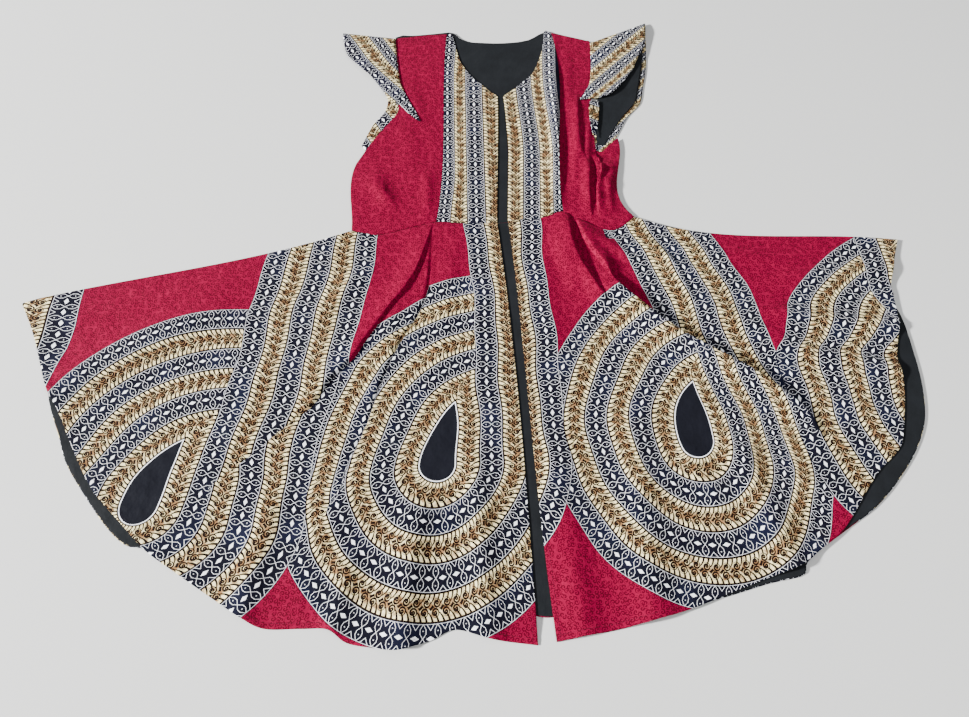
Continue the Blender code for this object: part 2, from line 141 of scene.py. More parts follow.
# Where the cloth is tucked under itself: the line where the upper cloth ends.
tuckLines = {
    "left skirt": [
        (-43, 100), (-63, 19), (-82, -24), (-105, -58), (-143, -119), (-158, -147), (-187, -179),
        (-214, -225), (-243, -249), (-285, -290), (-310, -313), (-345, -345),
    ],
    "left skirt, inner": [
        (-46, 94), (-50, -22), (-66, -76), (-83, -107), (-97, -137), (-117, -195), (-136, -264),
        (-153, -309), (-163, -349), (-177, -373), (-186, -400),
    ],
    "right skirt": [
        (230, 116), (239, 47), (246, -7), (288, -53), (336, -97), (389, -132), (435, -161), (468, -187),
        (511, -227), (525, -265),
    ],
    "right skirt, fold": [
        (240, 30), (246, -7), (288, -53), (336, -97), (389, -132), (435, -161), (468, -187), (511, -227),
        (528, -265), (540, -310),
    ],
    "right skirt, by the waist": [
        (181, 122), (183, 104), (186, 68), (195, 35), (207, 6), (223, -26), (238, -55), (250, -85),
    ],
    "right skirt, ridge": [(186, 110), (194, 81), (205, 55), (219, 31), (241, -15), (250, -30)],
    "right skirt, side": [(300, 88), (352, 20), (372, -40), (392, -90)],
    "right side": [(210, 380), (209, 345), (208, 320), (208, 290), (210, 252), (218, 222), (222, 195)],
    "right side, inner": [(223, 235), (221, 200), (219, 167), (219, 130), (221, 100)],
    "right side, low": [(239, 232), (235, 208), (230, 188), (226, 165), (226, 130), (229, 100)],
    "right side, armhole": [(238, 240), (241, 220), (241, 200), (238, 180)],
}
# How much print the left skirt's inner crease hides: y and mm.
hiddenRows = [
    (-430, 0), (-385, -4), (-336, -15), (-268, -16), (-214, -15), (-157, -14), (-110, -22), (-68, -38),
    (-20, -36), (60, 0),
]
# Each lip: the line it follows, its height, how far its gentle side runs and how steep
# the other one is; it is steep on the right, or on the left where the last value is -1.
lips = {
    "skirt_front_left": [("left skirt", 5, 22, 4, 1), ("left skirt, inner", 2, 16, 4, 1)],
    "skirt_front_right": [
        ("right skirt, fold", 14, 28, 5, 1), ("right skirt, by the waist", 9, 22, 5, 1),
        ("right skirt, ridge", 7, 18, 6, -1), ("right skirt, side", 3, 16, 8, 1),
    ],
    "side_front_right": [
        ("right side", 2.5, 10, 3, 1), ("right side, inner", 6, 10, 3, 1),
        ("right side, low", 7, 12, 3, -1), ("right side, armhole", 5, 8, 4, 1),
    ],
}
# Each sleeve is one piece folded over at its top edge: x and y at the armhole and at the
# outer edge, then the height of both.
sleeveLeftRows = [
    (-74, 315, -79, 317, 6.2, 6.2), (-84, 338, -95, 332, 6.2, 6.2), (-95, 360, -113, 354, 6.2, 6.3),
    (-104, 380, -133, 368, 6.1, 7), (-113, 402, -156, 409, 5.9, 5), (-118, 428, -187, 441, 5.6, 7.4),
    (-122, 456, -216, 476, 5.5, 4.8), (-125, 482, -226, 512, 5.4, 6.6), (-128, 514, -228, 530, 5.3, 4.6),
    (-134, 513, -222, 527, 0.75, 0.75), (-134, 474, -206, 480, 0.75, 0.75),
    (-127, 408, -168, 426, 0.75, 0.75), (-113, 359, -136, 374, 0.75, 0.75),
    (-117, 326, -139, 341, 0.75, 0.75), (-137, 296, -157, 313, 0.75, 0.75),
    (-153, 273, -167, 288, 0.75, 0.75), (-167, 252, -175, 264, 0.75, 0.75),
]
sleeveRightRows = [
    (209, 364, 245, 370, 6.4, 6.2), (214, 373, 262, 376, 6.4, 6.8), (222, 387, 280, 392, 6.3, 7.6),
    (230, 404, 311, 438, 6, 5.4), (233, 428, 323, 468, 5.7, 8.2), (235, 453, 339, 501, 5.6, 5.2),
    (236, 478, 343, 535, 5.5, 7.4), (237, 503, 345, 556, 5.4, 4.6), (243, 501, 344, 553, 0.75, 0.75),
    (242, 453, 342, 499, 0.75, 0.75), (241, 404, 337, 446, 0.75, 0.75), (242, 370, 328, 401, 0.75, 0.75),
    (242, 344, 319, 361, 0.75, 0.75), (241, 301, 293, 328, 0.75, 0.75), (230, 275, 270, 283, 0.9, 0.9),
    (233, 247, 252, 249, 1.4, 1.4),
]
sleeveLiningRows = [
    (245, 497, 338, 541, 2.3, 2.3), (245, 453, 335, 496, 2.3, 2.3), (244, 404, 329, 447, 2.3, 2.3),
    (242, 370, 320, 402, 2.3, 2.3), (239, 344, 311, 364, 2.3, 2.3), (236, 301, 286, 331, 2.3, 2.3),
    (235, 284, 262, 291, 2.3, 2.3), (236, 265, 247, 264, 2.3, 2.3),
]
sleeveEndRows = [
    (229, 363, 244, 361, 6, 5.5), (226, 350, 243, 340, 6.5, 5.4), (225, 328, 240, 314, 7.5, 5.4),
    (226, 301, 236, 292, 8.5, 5.4), (228, 284, 234, 279, 8.5, 6),
]

# Soft ripples between the big folds: x0, y0, x1, y1, height and width in mm.
ripples = {
    "skirt_front_left": [
        (-150, 20, -560, -60, 2.5, 26), (-160, -40, -600, -130, 3, 22), (-200, -130, -520, -300, 2.5, 20),
        (-120, 40, -250, -110, 3, 14), (-70, 20, -130, -160, 2.5, 16), (-10, 90, -30, -200, 2, 14),
        (-100, -280, -230, -480, 3, 22), (30, 60, 25, -250, 1.5, 12), (-250, -170, -420, -400, 3, 24),
    ],
    "skirt_front_right": [
        (150, 100, 190, -60, 3, 12), (130, 60, 150, -180, 2, 16), (205, 90, 300, 10, 4, 9),
        (232, 80, 430, -20, 3, 12), (250, 60, 600, 20, 2.5, 14), (330, -20, 560, -150, 3, 13),
        (300, -230, 400, -440, 3, 20), (430, -300, 560, -370, 3, 15), (520, -200, 640, -250, 3, 13),
    ],
    "side_front_left": [
        (-150, 230, -120, 110, 2, 12), (-100, 340, -80, 180, 1.5, 14), (-110, 420, -60, 300, 1.5, 12),
    ],
    "side_front_right": [
        (200, 330, 190, 150, 3, 7), (225, 330, 215, 200, 2.5, 6), (248, 200, 250, 110, 3, 7),
        (195, 500, 185, 300, 1.5, 9),
    ],
    "centre_front_left": [(10, 380, 0, 150, 1, 12)],
    "centre_front_right": [(110, 380, 115, 150, 1.2, 11)],
}

rowLength = 7
lineGaps = 6  # how many points are made for each one of a drawn line
third = 13.5  # brings a bow to its full size a third of the way along
foldEnds = 0.35  # the share of a fold in which it rises, and in which it fades
lipEnds = {"rise": 0.25, "ahead": 0.2, "fade": 0.45, "from": -0.02}


def smooth(t):
    # from 0 to 1, gently at both ends
    t = np.clip(t, 0.0, 1.0)
    return t * t * (3 - 2 * t)


def refined(rows, perGap, tension):
    # more rows between the given ones: straight at tension 0, a smooth curve at 1
    table = np.array([tuple(row) + (0,) * (rowLength - len(row)) for row in rows], float)
    ends = np.vstack([2 * table[0] - table[1], table, 2 * table[-1] - table[-2]])
    made = []
    for i in range(len(table) - 1):
        before, first, second, after = ends[i : i + 4]
        leave = (1 - tension) * (second - first) + tension * (second - before) / 2
        reach = (1 - tension) * (second - first) + tension * (after - first) / 2
        for step in range(perGap):
            t = step / perGap
            made.append(
                (2 * t**3 - 3 * t**2 + 1) * first
                + (t**3 - 2 * t**2 + t) * leave
                + (3 * t**2 - 2 * t**3) * second
                + (t**3 - t**2) * reach
            )
    made.append(table[-1])
    return np.array(made)


def steps(length, spacing, edge):
    # shares of a length: evenly spaced, with closer ones by both ends for a round edge
    near = [distance for distance in edge if distance < length / 3]
    inner = np.linspace(near[-1], length - near[-1], max(3, round(length / spacing)))
    return np.concatenate([[0], near[:-1], inner, [length - d for d in near[:-1]][::-1], [length]]) / length


def closer(shares, fine):
    # more shares where a tuck needs them: fine is (from, to, how many in each step)
    if not fine:
        return shares
    low, high, times = fine
    made = [shares[0]]
    for before, share in zip(shares[:-1], shares[1:]):
        count = times if low < share < high else 1
        made += [before + (share - before) * (i + 1) / count for i in range(count)]
    return np.array(made)


def bowAt(first, second, along):
    # how far a line bows, from its bow a third and two thirds along
    near = third * along * (along - 2 / 3) * (along - 1)
    far = -third * along * (along - 1 / 3) * (along - 1)
    return first * near + second * far


def ridge(x, y, x0, y0, x1, y1, height, left, right, openEnd):
    length = math.hypot(x1 - x0, y1 - y0)
    runX, runY = (x1 - x0) / length, (y1 - y0) / length
    along = ((x - x0) * runX + (y - y0) * runY) / length
    across = runX * (y - y0) - runY * (x - x0)
    fade = smooth(along / foldEnds)
    if not openEnd:
        fade = fade * smooth((1 - along) / foldEnds)
    return height * fade * np.exp(-((across / np.where(across > 0, left, right)) ** 2))


def besideLine(x, y, points):
    # how far right of a line each place is, and its share of the way down the line
    line = refined(points, lineGaps, 1)[::-1]
    slopeX, slopeY = np.gradient(line[:, 0]), np.gradient(line[:, 1])
    slope = np.abs(slopeY) / np.hypot(slopeX, slopeY)
    away = (x - np.interp(y, line[:, 1], line[:, 0])) * np.interp(y, line[:, 1], slope)
    return away, (line[-1, 1] - y) / (line[-1, 1] - line[0, 1])


def lip(x, y, points, height, gentle, steep, side):
    away, down = besideLine(x, y, points)
    away = away * side
    rise = smooth(down / lipEnds["rise"] + lipEnds["ahead"]) * (down > lipEnds["from"])
    fade = rise * smooth((1 - down) / lipEnds["fade"]) * (down < 1)
    slope = np.exp(-(((away + steep) / gentle) ** 2))
    return height * fade * np.where(away < -steep, slope, smooth(-away / steep))


def foldHeight(name, x, y):
    total = np.zeros_like(x)
    for line, *values in lips.get(name, []):
        total += lip(x, y, tuckLines[line], *values)
    for fold in folds.get(name, []):
        total += ridge(x, y, *fold)
    for *ends, height, width in ripples.get(name, []):
        total += ridge(x, y, *ends, height, width, width, 0)
    return total


def waistHeight(x):
    line = refined(waistRows, lineGaps, 1)
    return np.interp(x, line[:, 0], line[:, 1])


def backWaistHeight(x):
    (x0, y0), (x1, y1) = waistRows[0], waistRows[-1]
    return y0 + (y1 - y0) * (x - x0) / (x1 - x0)


def meshFrom(name, points, faces):
    # a closed mesh object from points in the tables' mm, its faces turned outwards
    corners = (np.asarray(points, float) - (middleX, 0, 0)) * mm
    quads = np.asarray(faces, int)
    a, b, c, d = (corners[quads[:, i]] for i in range(4))
    volume = sum(np.einsum("ij,ij->i", a, np.cross(*pair)).sum() for pair in ((b, c), (c, d)))
    if volume < 0:
        quads = quads[:, ::-1]
    mesh = bpy.data.meshes.new(name)
    mesh.vertices.add(len(corners))
    mesh.vertices.foreach_set("co", corners.ravel())
    mesh.loops.add(quads.size)
    mesh.loops.foreach_set("vertex_index", np.ascontiguousarray(quads).ravel())
    mesh.polygons.add(len(quads))
    mesh.polygons.foreach_set("loop_start", np.arange(len(quads)) * 4)
    mesh.update(calc_edges=True)
    mesh.shade_smooth()
    obj = bpy.data.objects.new(name, mesh)
    bpy.context.scene.collection.objects.link(obj)
    return obj


def shellFaces(rows, columns):
    count = rows * columns
    index = np.arange(count).reshape(rows, columns)
    low = np.stack([index[:-1, :-1], index[1:, :-1], index[1:, 1:], index[:-1, 1:]], -1).reshape(-1, 4)
    high = low[:, ::-1] + count
    rim = np.concatenate([index[:-1, 0], index[-1, :-1], index[:0:-1, -1], index[0, :0:-1]])
    after = np.roll(rim, -1)
    wall = np.stack([rim, rim + count, after + count, after], -1)
    return np.concatenate([low, high, wall])


def shell(name, low, high):
    rows, columns = low.shape[:2]
    points = np.concatenate([low.reshape(-1, 3), high.reshape(-1, 3)])
    return meshFrom(name, points, shellFaces(rows, columns))


# How each panel meets its neighbours, in mm: how far its edge is rounded and the share of
# the wall that is left there, how far the waist seam pulls it and sinks it, and where the
# edge starts to drop to the table and how long that takes, as shares of the way along.
edges = {"round": 1.6, "thin": 0.2, "pull": 25, "sinkRun": 2.5, "dropFrom": 0.95,
         "dropRun": 0.05, "hemRise": 1.2, "lift": 0.12}


def edgeRound(shares, lengths):
    # 0 at the border of a grid, 1 from a little way in
    near = np.minimum(shares, 1 - shares) * lengths
    return np.sqrt(np.clip(near / edges["round"], 0, 1))


def flatArea(plan):
    a, b, c, d = plan[:-1, :-1], plan[1:, :-1], plan[1:, 1:], plan[:-1, 1:]
    one, two = c - a, d - b
    return float(np.abs(one[..., 0] * two[..., 1] - one[..., 1] * two[..., 0]).sum() / 2) * mm * mm


def layPanel(name, piece):
    # one piece of cloth lying on what is under it, as a thin closed shell; it also keeps the
    # panel's flat plan, its top, its area and its size
    rows = refined(piece["rows"], piece["perGap"], piece["tension"])
    if piece.get("seamShift"):
        end, amount = piece["seamShift"]
        rows[end, [0, 2]] += amount
    spread = closer(steps(piece["width"], piece["spacing"], edgeSteps), piece.get("fine"))
    place = spread * (len(rows) - 1)
    rows = np.column_stack([np.interp(place, np.arange(len(rows)), column) for column in rows.T])
    across = spread[:, None]
    along = steps(piece["length"], piece["spacing"], edgeSteps)[None, :]
    start, run = rows[:, None, 0:2], rows[:, None, 2:4] - rows[:, None, 0:2]
    length = np.linalg.norm(run, axis=2, keepdims=True)
    side = np.stack([run[..., 1], -run[..., 0]], -1) / length
    length = length[..., 0]
    isFront, isBack = piece["low"] >= frontLow, piece["low"] < 1
    firstA, firstB, lastA, lastB = bows.get(name.replace("_lining", ""), (0, 0, 0, 0))
    bend = bowAt(firstA, firstB, along) * (1 - across) ** 3
    bend = bend + bowAt(lastA, lastB, along) * across**3
    bend = bend + bowAt(rows[:, None, 5], rows[:, None, 6], along)
    plan = start + run * along[..., None] + side * bend[..., None]
    toWaist = (waistHeight if isFront else backWaistHeight)(plan[:, :1, 0])
    toWaist = toWaist + (-waistHalfGap if piece["skirt"] else waistHalfGap) - plan[:, :1, 1]
    plan[..., 1] += toWaist * np.clip(1 - along * length / edges["pull"], 0, 1)
    x, y = plan[..., 0], plan[..., 1]
    lastShare = (along - edges["dropFrom"]) / edges["dropRun"]
    drop = np.clip(rows[:, 4], 0, 1)[:, None] * np.clip(lastShare, 0, 1)
    base = piece["low"] * (1 - drop) + foldHeight(name, x, y)
    if piece["skirt"] and isFront:
        base = base + hemRaise * smooth((hemWidth - (1 - along) * length) / edges["hemRise"])
    rounding = edgeRound(along, length) * edgeRound(across, piece["width"])
    sink = piece["seamSink"] * np.exp(-(along * length) / edges["sinkRun"])
    wall = piece["wall"]
    half = wall * (edges["thin"] + (0.5 - edges["thin"]) * rounding)
    middle = base + wall / 2 + edges["lift"] - sink
    if isBack:
        middle = np.maximum(middle, half)
    low, high = (np.stack([x, y, middle + way * half], -1) for way in (-1, 1))
    obj = shell(name + "_cloth", low, high)
    piece["plan"], piece["top"] = plan, high
    piece["area"] = flatArea(plan)
    piece["size"] = tuple(float(v) * mm for v in np.ptp(plan.reshape(-1, 2), axis=0))
    return obj


# The waves of the print's wander: how long each is down and over the cloth, its share of
# the whole and where it starts.
wander = ((37, 95, 1, 0), (16, -60, 0.6, 1))
besideTuck = 80  # how far left of a tuck the near drop still moves


def clothPlaces(obj, piece):
    # attributes: where each point lies in the printed cloth and how far right of the tuck
    # it is, and how much each print is moved there
    plan = piece["plan"] - np.array([middleX, 0])
    x, y = plan[..., 0], plan[..., 1]
    away, _ = besideLine(x + middleX, y, tuckLines[piece["tuck"]])
    wandering = waver * sum(
        share * np.sin(y / down + x / over + start) for down, over, share, start in wander)
    moves = refined(piece["moves"], lineGaps, 1)[::-1].T
    layers = {
        "cloth": np.stack([x + wandering, y, away], -1),
        "moves": np.stack([np.interp(y, moves[0], moves[i]) for i in (1, 2, 3)], -1),
    }
    layers["moves"][..., 2] *= np.where(away < 0, np.exp(-((away / besideTuck) ** 2)), 1)
    if piece.get("crease"):  # cloth hidden in the soft crease moves the print left of it
        beyond, _ = besideLine(x + middleX, y, tuckLines[piece["crease"]])
        down, hidden = zip(*hiddenRows)
        layers["moves"][..., 2] += np.interp(y, down, hidden) * (beyond < 0)
    for title, places in layers.items():
        both = np.concatenate([places.reshape(-1, 3)] * 2)
        layer = obj.data.attributes.new(title, "FLOAT_VECTOR", "POINT")
        layer.data.foreach_set("vector", both.astype(np.float32).ravel())


class Wire:
    # a number or a vector running through a node tree, so that sums can be written as sums
    def __init__(self, tree, socket):
        self.tree, self.socket = tree, socket

    def calc(self, kind, *others):
        return calc(self.tree, kind, self, *others)

    def __rsub__(self, other):
        return calc(self.tree, "SUBTRACT", other, self)

    def pick(self, other, mask):
        # this where the mask is 0, the other where it is 1
        return self + (other - self) * mask


sums = {
    "__add__": "ADD", "__sub__": "SUBTRACT", "__mul__": "MULTIPLY", "__truediv__": "DIVIDE",
    "__lt__": "LESS_THAN", "__gt__": "GREATER_THAN", "__abs__": "ABSOLUTE", "floor": "FLOOR",
    "fract": "FRACT", "most": "MAXIMUM", "least": "MINIMUM",
}
for method, operation in sums.items():
    setattr(Wire, method, lambda self, *others, kind=operation: self.calc(kind, *others))


def join(tree, item, socket):
    if isinstance(item, Wire):
        tree.links.new(item.socket, socket)
    else:
        socket.default_value = item


def addNode(tree, kind, inputs=None):
    # a node in the next free place, with its inputs joined or set
    node = tree.nodes.new(kind)
    count = len(tree.nodes)
    node.location = (count % 24 * 190, -(count // 24) * 230)
    for title, item in (inputs or {}).items():
        join(tree, item, node.inputs[title])
    return node


def calc(tree, kind, *items):
    node = addNode(tree, "ShaderNodeMath", dict(enumerate(items)))
    node.operation = kind
    return Wire(tree, node.outputs[0])


def ramp(tree, value, low, high, first=0.0, last=1.0, kind="SMOOTHSTEP"):
    node = addNode(tree, "ShaderNodeMapRange", dict(enumerate((value, low, high, first, last))))
    node.interpolation_type = kind
    return Wire(tree, node.outputs[0])


def split(tree, vector):
    node = addNode(tree, "ShaderNodeSeparateXYZ", {0: vector})
    return [Wire(tree, output) for output in node.outputs]


def combine(tree, x, y):
    return Wire(tree, addNode(tree, "ShaderNodeCombineXYZ", {0: x, 1: y}).outputs[0])


def mixColour(tree, mask, first, second):
    node = addNode(tree, "ShaderNodeMix", {0: mask})
    node.data_type = "RGBA"
    for socket, item in zip((socket for socket in node.inputs if socket.type == "RGBA"), (first, second)):
        join(tree, item, socket)
    return Wire(tree, next(socket for socket in node.outputs if socket.type == "RGBA"))


def noise(tree, vector, scale, detail=2.0, roughness=0.5):
    inputs = {"Vector": vector, "Scale": scale, "Detail": detail, "Roughness": roughness}
    return Wire(tree, addNode(tree, "ShaderNodeTexNoise", inputs).outputs[0])


def bumpy(tree, shader, height, strength, distance):
    bump = addNode(tree, "ShaderNodeBump", {"Strength": strength, "Distance": distance, "Height": height})
    tree.links.new(bump.outputs["Normal"], shader.inputs["Normal"])


def colour(red, green, blue):
    # a colour picked in the usual 0 to 255, as the shader wants it
    parts = (((c / 255 + 0.055) / 1.055) ** 2.4 if c > 10 else c / 3294 for c in (red, green, blue))
    return (*parts, 1.0)


def newGroup(name, inputs, outputs):
    # a node group with named sockets; returns it and its input wires
    tree = bpy.data.node_groups.new(name, "ShaderNodeTree")
    for title, value in inputs.items():
        kind = vector if isinstance(value, tuple) else number
        tree.interface.new_socket(title, in_out="INPUT", socket_type=kind).default_value = value
    for title, kind in outputs.items():
        tree.interface.new_socket(title, in_out="OUTPUT", socket_type=kind)
    source = addNode(tree, "NodeGroupInput")
    return tree, {title: Wire(tree, source.outputs[title]) for title in inputs}


def finishGroup(tree, results):
    addNode(tree, "NodeGroupOutput", results)


def useGroup(tree, name, values):
    node = addNode(tree, "ShaderNodeGroup")
    node.node_tree = bpy.data.node_groups[name]
    for title, item in values.items():
        join(tree, item, node.inputs[title])
    return {output.name: Wire(tree, output) for output in node.outputs}


number, vector, tint = "NodeSocketFloat", "NodeSocketVector", "NodeSocketColor"
origin = (0.0, 0.0, 0.0)

printColours = {
    "cream": colour(255, 238, 182),
    "ochre": colour(122, 72, 32),
    "brown": colour(22, 10, 6),
    "navy": colour(10, 10, 22),
    "blue": colour(17, 20, 40),
    "white": colour(250, 250, 255),
    "core": colour(17, 18, 25),
    "red": colour(129, 0, 47),
    "deepRed": colour(72, 0, 19),
}
darkCloth = (colour(15, 17, 19), colour(29, 31, 34))


def dropRings():
    # rings of bands round a teardrop: an arc below, a wider arc on one side, and a straight
    # side whose bands run on up the cloth
    tree, at = newGroup(
        "dropRings",
        {
            "Cloth": origin, "Centre": origin, "Radius": 30.0, "Side Centre": origin, "Side Radius": 200.0,
            "Side Turn": 3.4, "Line Angle": 0.03, "Line Reach": 30.0, "Line Width": 31.0,
            "Bottom Width": 36.0, "Side Width": 30.0, "Skew": 0.0,
        },
        {"Bands": number, "Run": number},
    )
    x, y, _ = split(tree, at["Cloth"])
    centreX, centreY, _ = split(tree, at["Centre"])
    sideX, sideY, _ = split(tree, at["Side Centre"])
    relX, relY = x - centreX, y - centreY
    lineX, lineY = at["Line Angle"].calc("COSINE"), at["Line Angle"].calc("SINE")
    line = (relX * lineX + relY * lineY - at["Line Reach"]) / at["Line Width"]
    up = relY * lineX - relX * lineY
    angle = at["Line Angle"] - relY.calc("ARCTAN2", relX)
    turn = calc(tree, "WRAP", angle, 1.5 * math.pi, -0.5 * math.pi)
    width = ramp(tree, turn, 0.0, math.pi / 2, at["Line Width"], at["Bottom Width"])
    wider = at["Side Width"] - at["Bottom Width"]
    width = width + ramp(tree, turn, math.pi / 2, at["Side Turn"], 0.0, wider)
    width = width - at["Skew"] * (turn.most(0.0).least(math.pi) * 2.0).calc("SINE")
    fromCentre = (relX * relX + relY * relY).calc("SQRT")
    bottom = (fromCentre - at["Radius"]) / width
    farX, farY = x - sideX, y - sideY
    fromSide = (farX * farX + farY * farY).calc("SQRT")
    side = (fromSide - at["Side Radius"]) / at["Side Width"]
    inSide = (turn > at["Side Turn"]).most(turn < 0.0)
    arc = bottom.pick(side, inSide)
    useLine = (up > 0.0) * (line > 1.0).most(line > arc)
    bands = arc.pick(line, useLine)
    middle = bands.floor() + 0.5
    joinAngle = at["Line Angle"] - at["Side Turn"]
    sideTurn = calc(tree, "WRAP", joinAngle - farY.calc("ARCTAN2", farX), 1.9 * math.pi, -0.1 * math.pi)
    runBottom = (at["Radius"] + middle * at["Bottom Width"]) * turn
    runSide = (at["Radius"] + middle * at["Bottom Width"]) * at["Side Turn"]
    runSide = runSide + (at["Side Radius"] + middle * at["Side Width"]) * sideTurn
    run = (0.0 - runBottom.pick(runSide, inSide)).pick(up, useLine)
    finishGroup(tree, {"Bands": bands, "Run": run})


# The figures of the navy band, as shares of its width, and across the band from its middle
# line; what is marked bold is how much wider than the white line it is drawn.
navyShapes = {"pitch": 19.2, "line": 0.25, "slope": 1.25, "cornerSlope": 1.15, "leg": 0.195, "corner": 0.47,
              "hexagonEnd": 0.465, "hexagonBold": 1.1, "toothStart": 0.27, "triangleStart": 0.26,
              "triangleBold": 1.2, "lozenge": (0.27, 0.085), "dot": (0.05, 0.022), "dotPlace": 0.255,
              "dotShade": 0.7, "edge": (0.458, 0.476), "edgeShade": 0.6, "end": 0.48}


def navyBand():
    # white lozenges, double hexagons and edge triangles on the dark band
    shapes = navyShapes
    inputs = {"Run": 0.0, "Across": 0.5, "Pitch": shapes["pitch"], "Line": shapes["line"]}
    tree, at = newGroup("navyBand", inputs, {"Mask": number})
    slope = shapes["slope"]
    (lozengeLong, lozengeWide), (dotLong, dotWide) = shapes["lozenge"], shapes["dot"]
    off = abs(at["Across"] - 0.5)
    step = at["Run"] / at["Pitch"]
    fromCross = abs((step + 0.5).fract() - 0.5)
    fromLozenge = 0.5 - fromCross
    leg = (off * slope).least(shapes["leg"]).least((shapes["corner"] - off) * shapes["cornerSlope"])
    hexagon = abs(fromCross - leg) * at["Pitch"] < at["Line"] * shapes["hexagonBold"]
    hexagon = hexagon * (off < shapes["hexagonEnd"])
    tooth = (off - shapes["toothStart"]) * slope
    triangle = abs(fromLozenge - tooth) * at["Pitch"] < at["Line"] * shapes["triangleBold"]
    triangle = triangle * (off > shapes["triangleStart"])
    lozenge = fromLozenge / lozengeLong + off / lozengeWide < 1.0
    dot = fromCross / dotLong + abs(off - shapes["dotPlace"]) / dotWide < 1.0
    dot = dot * shapes["dotShade"]
    edge = (off > shapes["edge"][0]) * (off < shapes["edge"][1]) * shapes["edgeShade"]
    mask = hexagon.most(triangle).most(lozenge).most(edge).most(dot) * (off < shapes["end"])
    finishGroup(tree, {"Mask": mask})


# The figures of the cream band, in mm along it; how far in the combs reach and where the
# edge line starts are shares of its width.
creamShapes = {"pitch": 13.6, "width": 31.0, "line": 0.88, "shift": 2.2, "combBend": 40.0, "combBold": 1.75,
               "combThins": 1.7, "combEnd": 0.36, "curlPlace": 5.0, "curlTurn": 3.2, "curlBold": 1.35,
               "curlReach": 5.2, "diamondPlace": 0.42, "diamond": 3.3, "edge": 0.448, "heart": (0.42, 0.05)}


def creamBand():
    # brown combs from both edges, paired curls and a row of small diamonds
    shapes = creamShapes
    inputs = {"Run": 0.0, "Across": 0.5, "Pitch": shapes["pitch"], "Width": shapes["width"],
              "Line": shapes["line"]}
    tree, at = newGroup("creamBand", inputs, {"Mask": number, "Heart": number})
    pitch, line = at["Pitch"], at["Line"]
    off = abs(at["Across"] - 0.5)
    upper = at["Across"] > 0.5
    run = at["Run"] + upper * shapes["shift"]
    inward = 0.5 - off
    comb = (run + inward * inward * shapes["combBend"]) / (pitch * 0.5)
    fromRib = abs(comb.fract() - 0.5) * pitch * 0.5
    rib = fromRib < line * shapes["combBold"] - inward * shapes["combThins"]
    rib = rib * (inward < shapes["combEnd"])
    alongCurl = ((run / pitch).fract() - 0.5) * pitch
    acrossCurl = off * at["Width"] - shapes["curlPlace"]
    radius = (alongCurl * alongCurl + acrossCurl * acrossCurl).calc("SQRT")
    twist = acrossCurl.calc("ARCTAN2", alongCurl) / (2 * math.pi)
    turn = shapes["curlTurn"]
    curl = abs((radius / turn - twist).fract() - 0.5) * turn < line * shapes["curlBold"]
    curl = curl * (radius < shapes["curlReach"])
    alongDiamond = abs(((run / pitch + shapes["diamondPlace"]).fract() - 0.5) * pitch)
    diamond = alongDiamond + off * at["Width"] < shapes["diamond"]
    edge = off > shapes["edge"]
    heart = ramp(tree, off, *shapes["heart"])
    finishGroup(tree, {"Mask": rib.most(curl).most(diamond).most(edge), "Heart": heart})


# The curls of the red cloth, in mm.
redShapes = {"spacing": 6.6, "scatter": 0.62, "turn": 3.1, "line": 0.85, "reach": 3.7,
             "grainScale": 0.9, "speckFrom": 0.62, "speckShade": 0.55, "shade": 0.9}


def redGround():
    # small dark curls scattered over the crimson
    shapes = redShapes
    tree, at = newGroup("redGround", {"Cloth": origin, "Size": shapes["spacing"]}, {"Mask": number})
    cell = addNode(tree, "ShaderNodeTexVoronoi")
    cell.voronoi_dimensions = "2D"
    join(tree, at["Cloth"], cell.inputs["Vector"])
    cell.inputs["Scale"].default_value = 1 / shapes["spacing"]
    cell.inputs["Randomness"].default_value = shapes["scatter"]
    position, distance = Wire(tree, cell.outputs["Position"]), Wire(tree, cell.outputs["Distance"])
    x, y, _ = split(tree, at["Cloth"])
    cellX, cellY, _ = split(tree, position)
    away = (y - cellY).calc("ARCTAN2", x - cellX) / (2 * math.pi)
    chance, _, _ = split(tree, Wire(tree, cell.outputs["Color"]))
    reach = distance * at["Size"]
    spiral = abs((reach / shapes["turn"] - away + chance).fract() - 0.5) * shapes["turn"]
    curl = (spiral < shapes["line"]) * (reach < shapes["reach"])
    grain = noise(tree, at["Cloth"], shapes["grainScale"])
    speck = (grain > shapes["speckFrom"]) * shapes["speckShade"]
    finishGroup(tree, {"Mask": curl.most(speck)})


# The weave, the wear and the painted crease shade of the cloth: each noise has its scale and its height in
# mm. The painted shade runs from 0.9 of the colour in the crease hollows to 1.08 on their tops as the
# crease noise goes from 0.3 to 0.75, and the roughness is ramped the same way.
wearAndShade = {"thread": 0.55, "weave": 0.06, "creases": (0.045, 2.4), "crumple": (0.16, 0.5),
        "creaseShade": (0.3, 0.75, 0.9, 1.08), "rough": (0.3, 0.7, 0.9, 0.72)}


def clothSurface():
    # the weave, the small creases of worn cotton, and painted shade that darkens the crease hollows and
    # lightens their tops
    tree, at = newGroup(
        "clothSurface", {"Cloth": origin}, {"Height": number, "Crease Shade": number, "Roughness": number})
    x, y, _ = split(tree, at["Cloth"])
    warp, weft = ((way * (math.pi / wearAndShade["thread"])).calc("SINE") for way in (x, y))
    weave = warp * weft * wearAndShade["weave"]
    (creaseScale, creaseHeight), (crumpleScale, crumpleHeight) = wearAndShade["creases"], wearAndShade["crumple"]
    creases = noise(tree, at["Cloth"], creaseScale, 3.0, 0.55)
    crumple = noise(tree, at["Cloth"], crumpleScale)
    height = creases * creaseHeight + crumple * crumpleHeight + weave
    # painted shade: the colour is darker where the crease bumps sink and lighter where they rise
    creaseShade = ramp(tree, creases, *wearAndShade["creaseShade"], "LINEAR")
    rubbed = ramp(tree, crumple * 0.5 + creases * 0.5, *wearAndShade["rough"]) - weave
    finishGroup(tree, {"Height": height, "Crease Shade": creaseShade, "Roughness": rubbed})


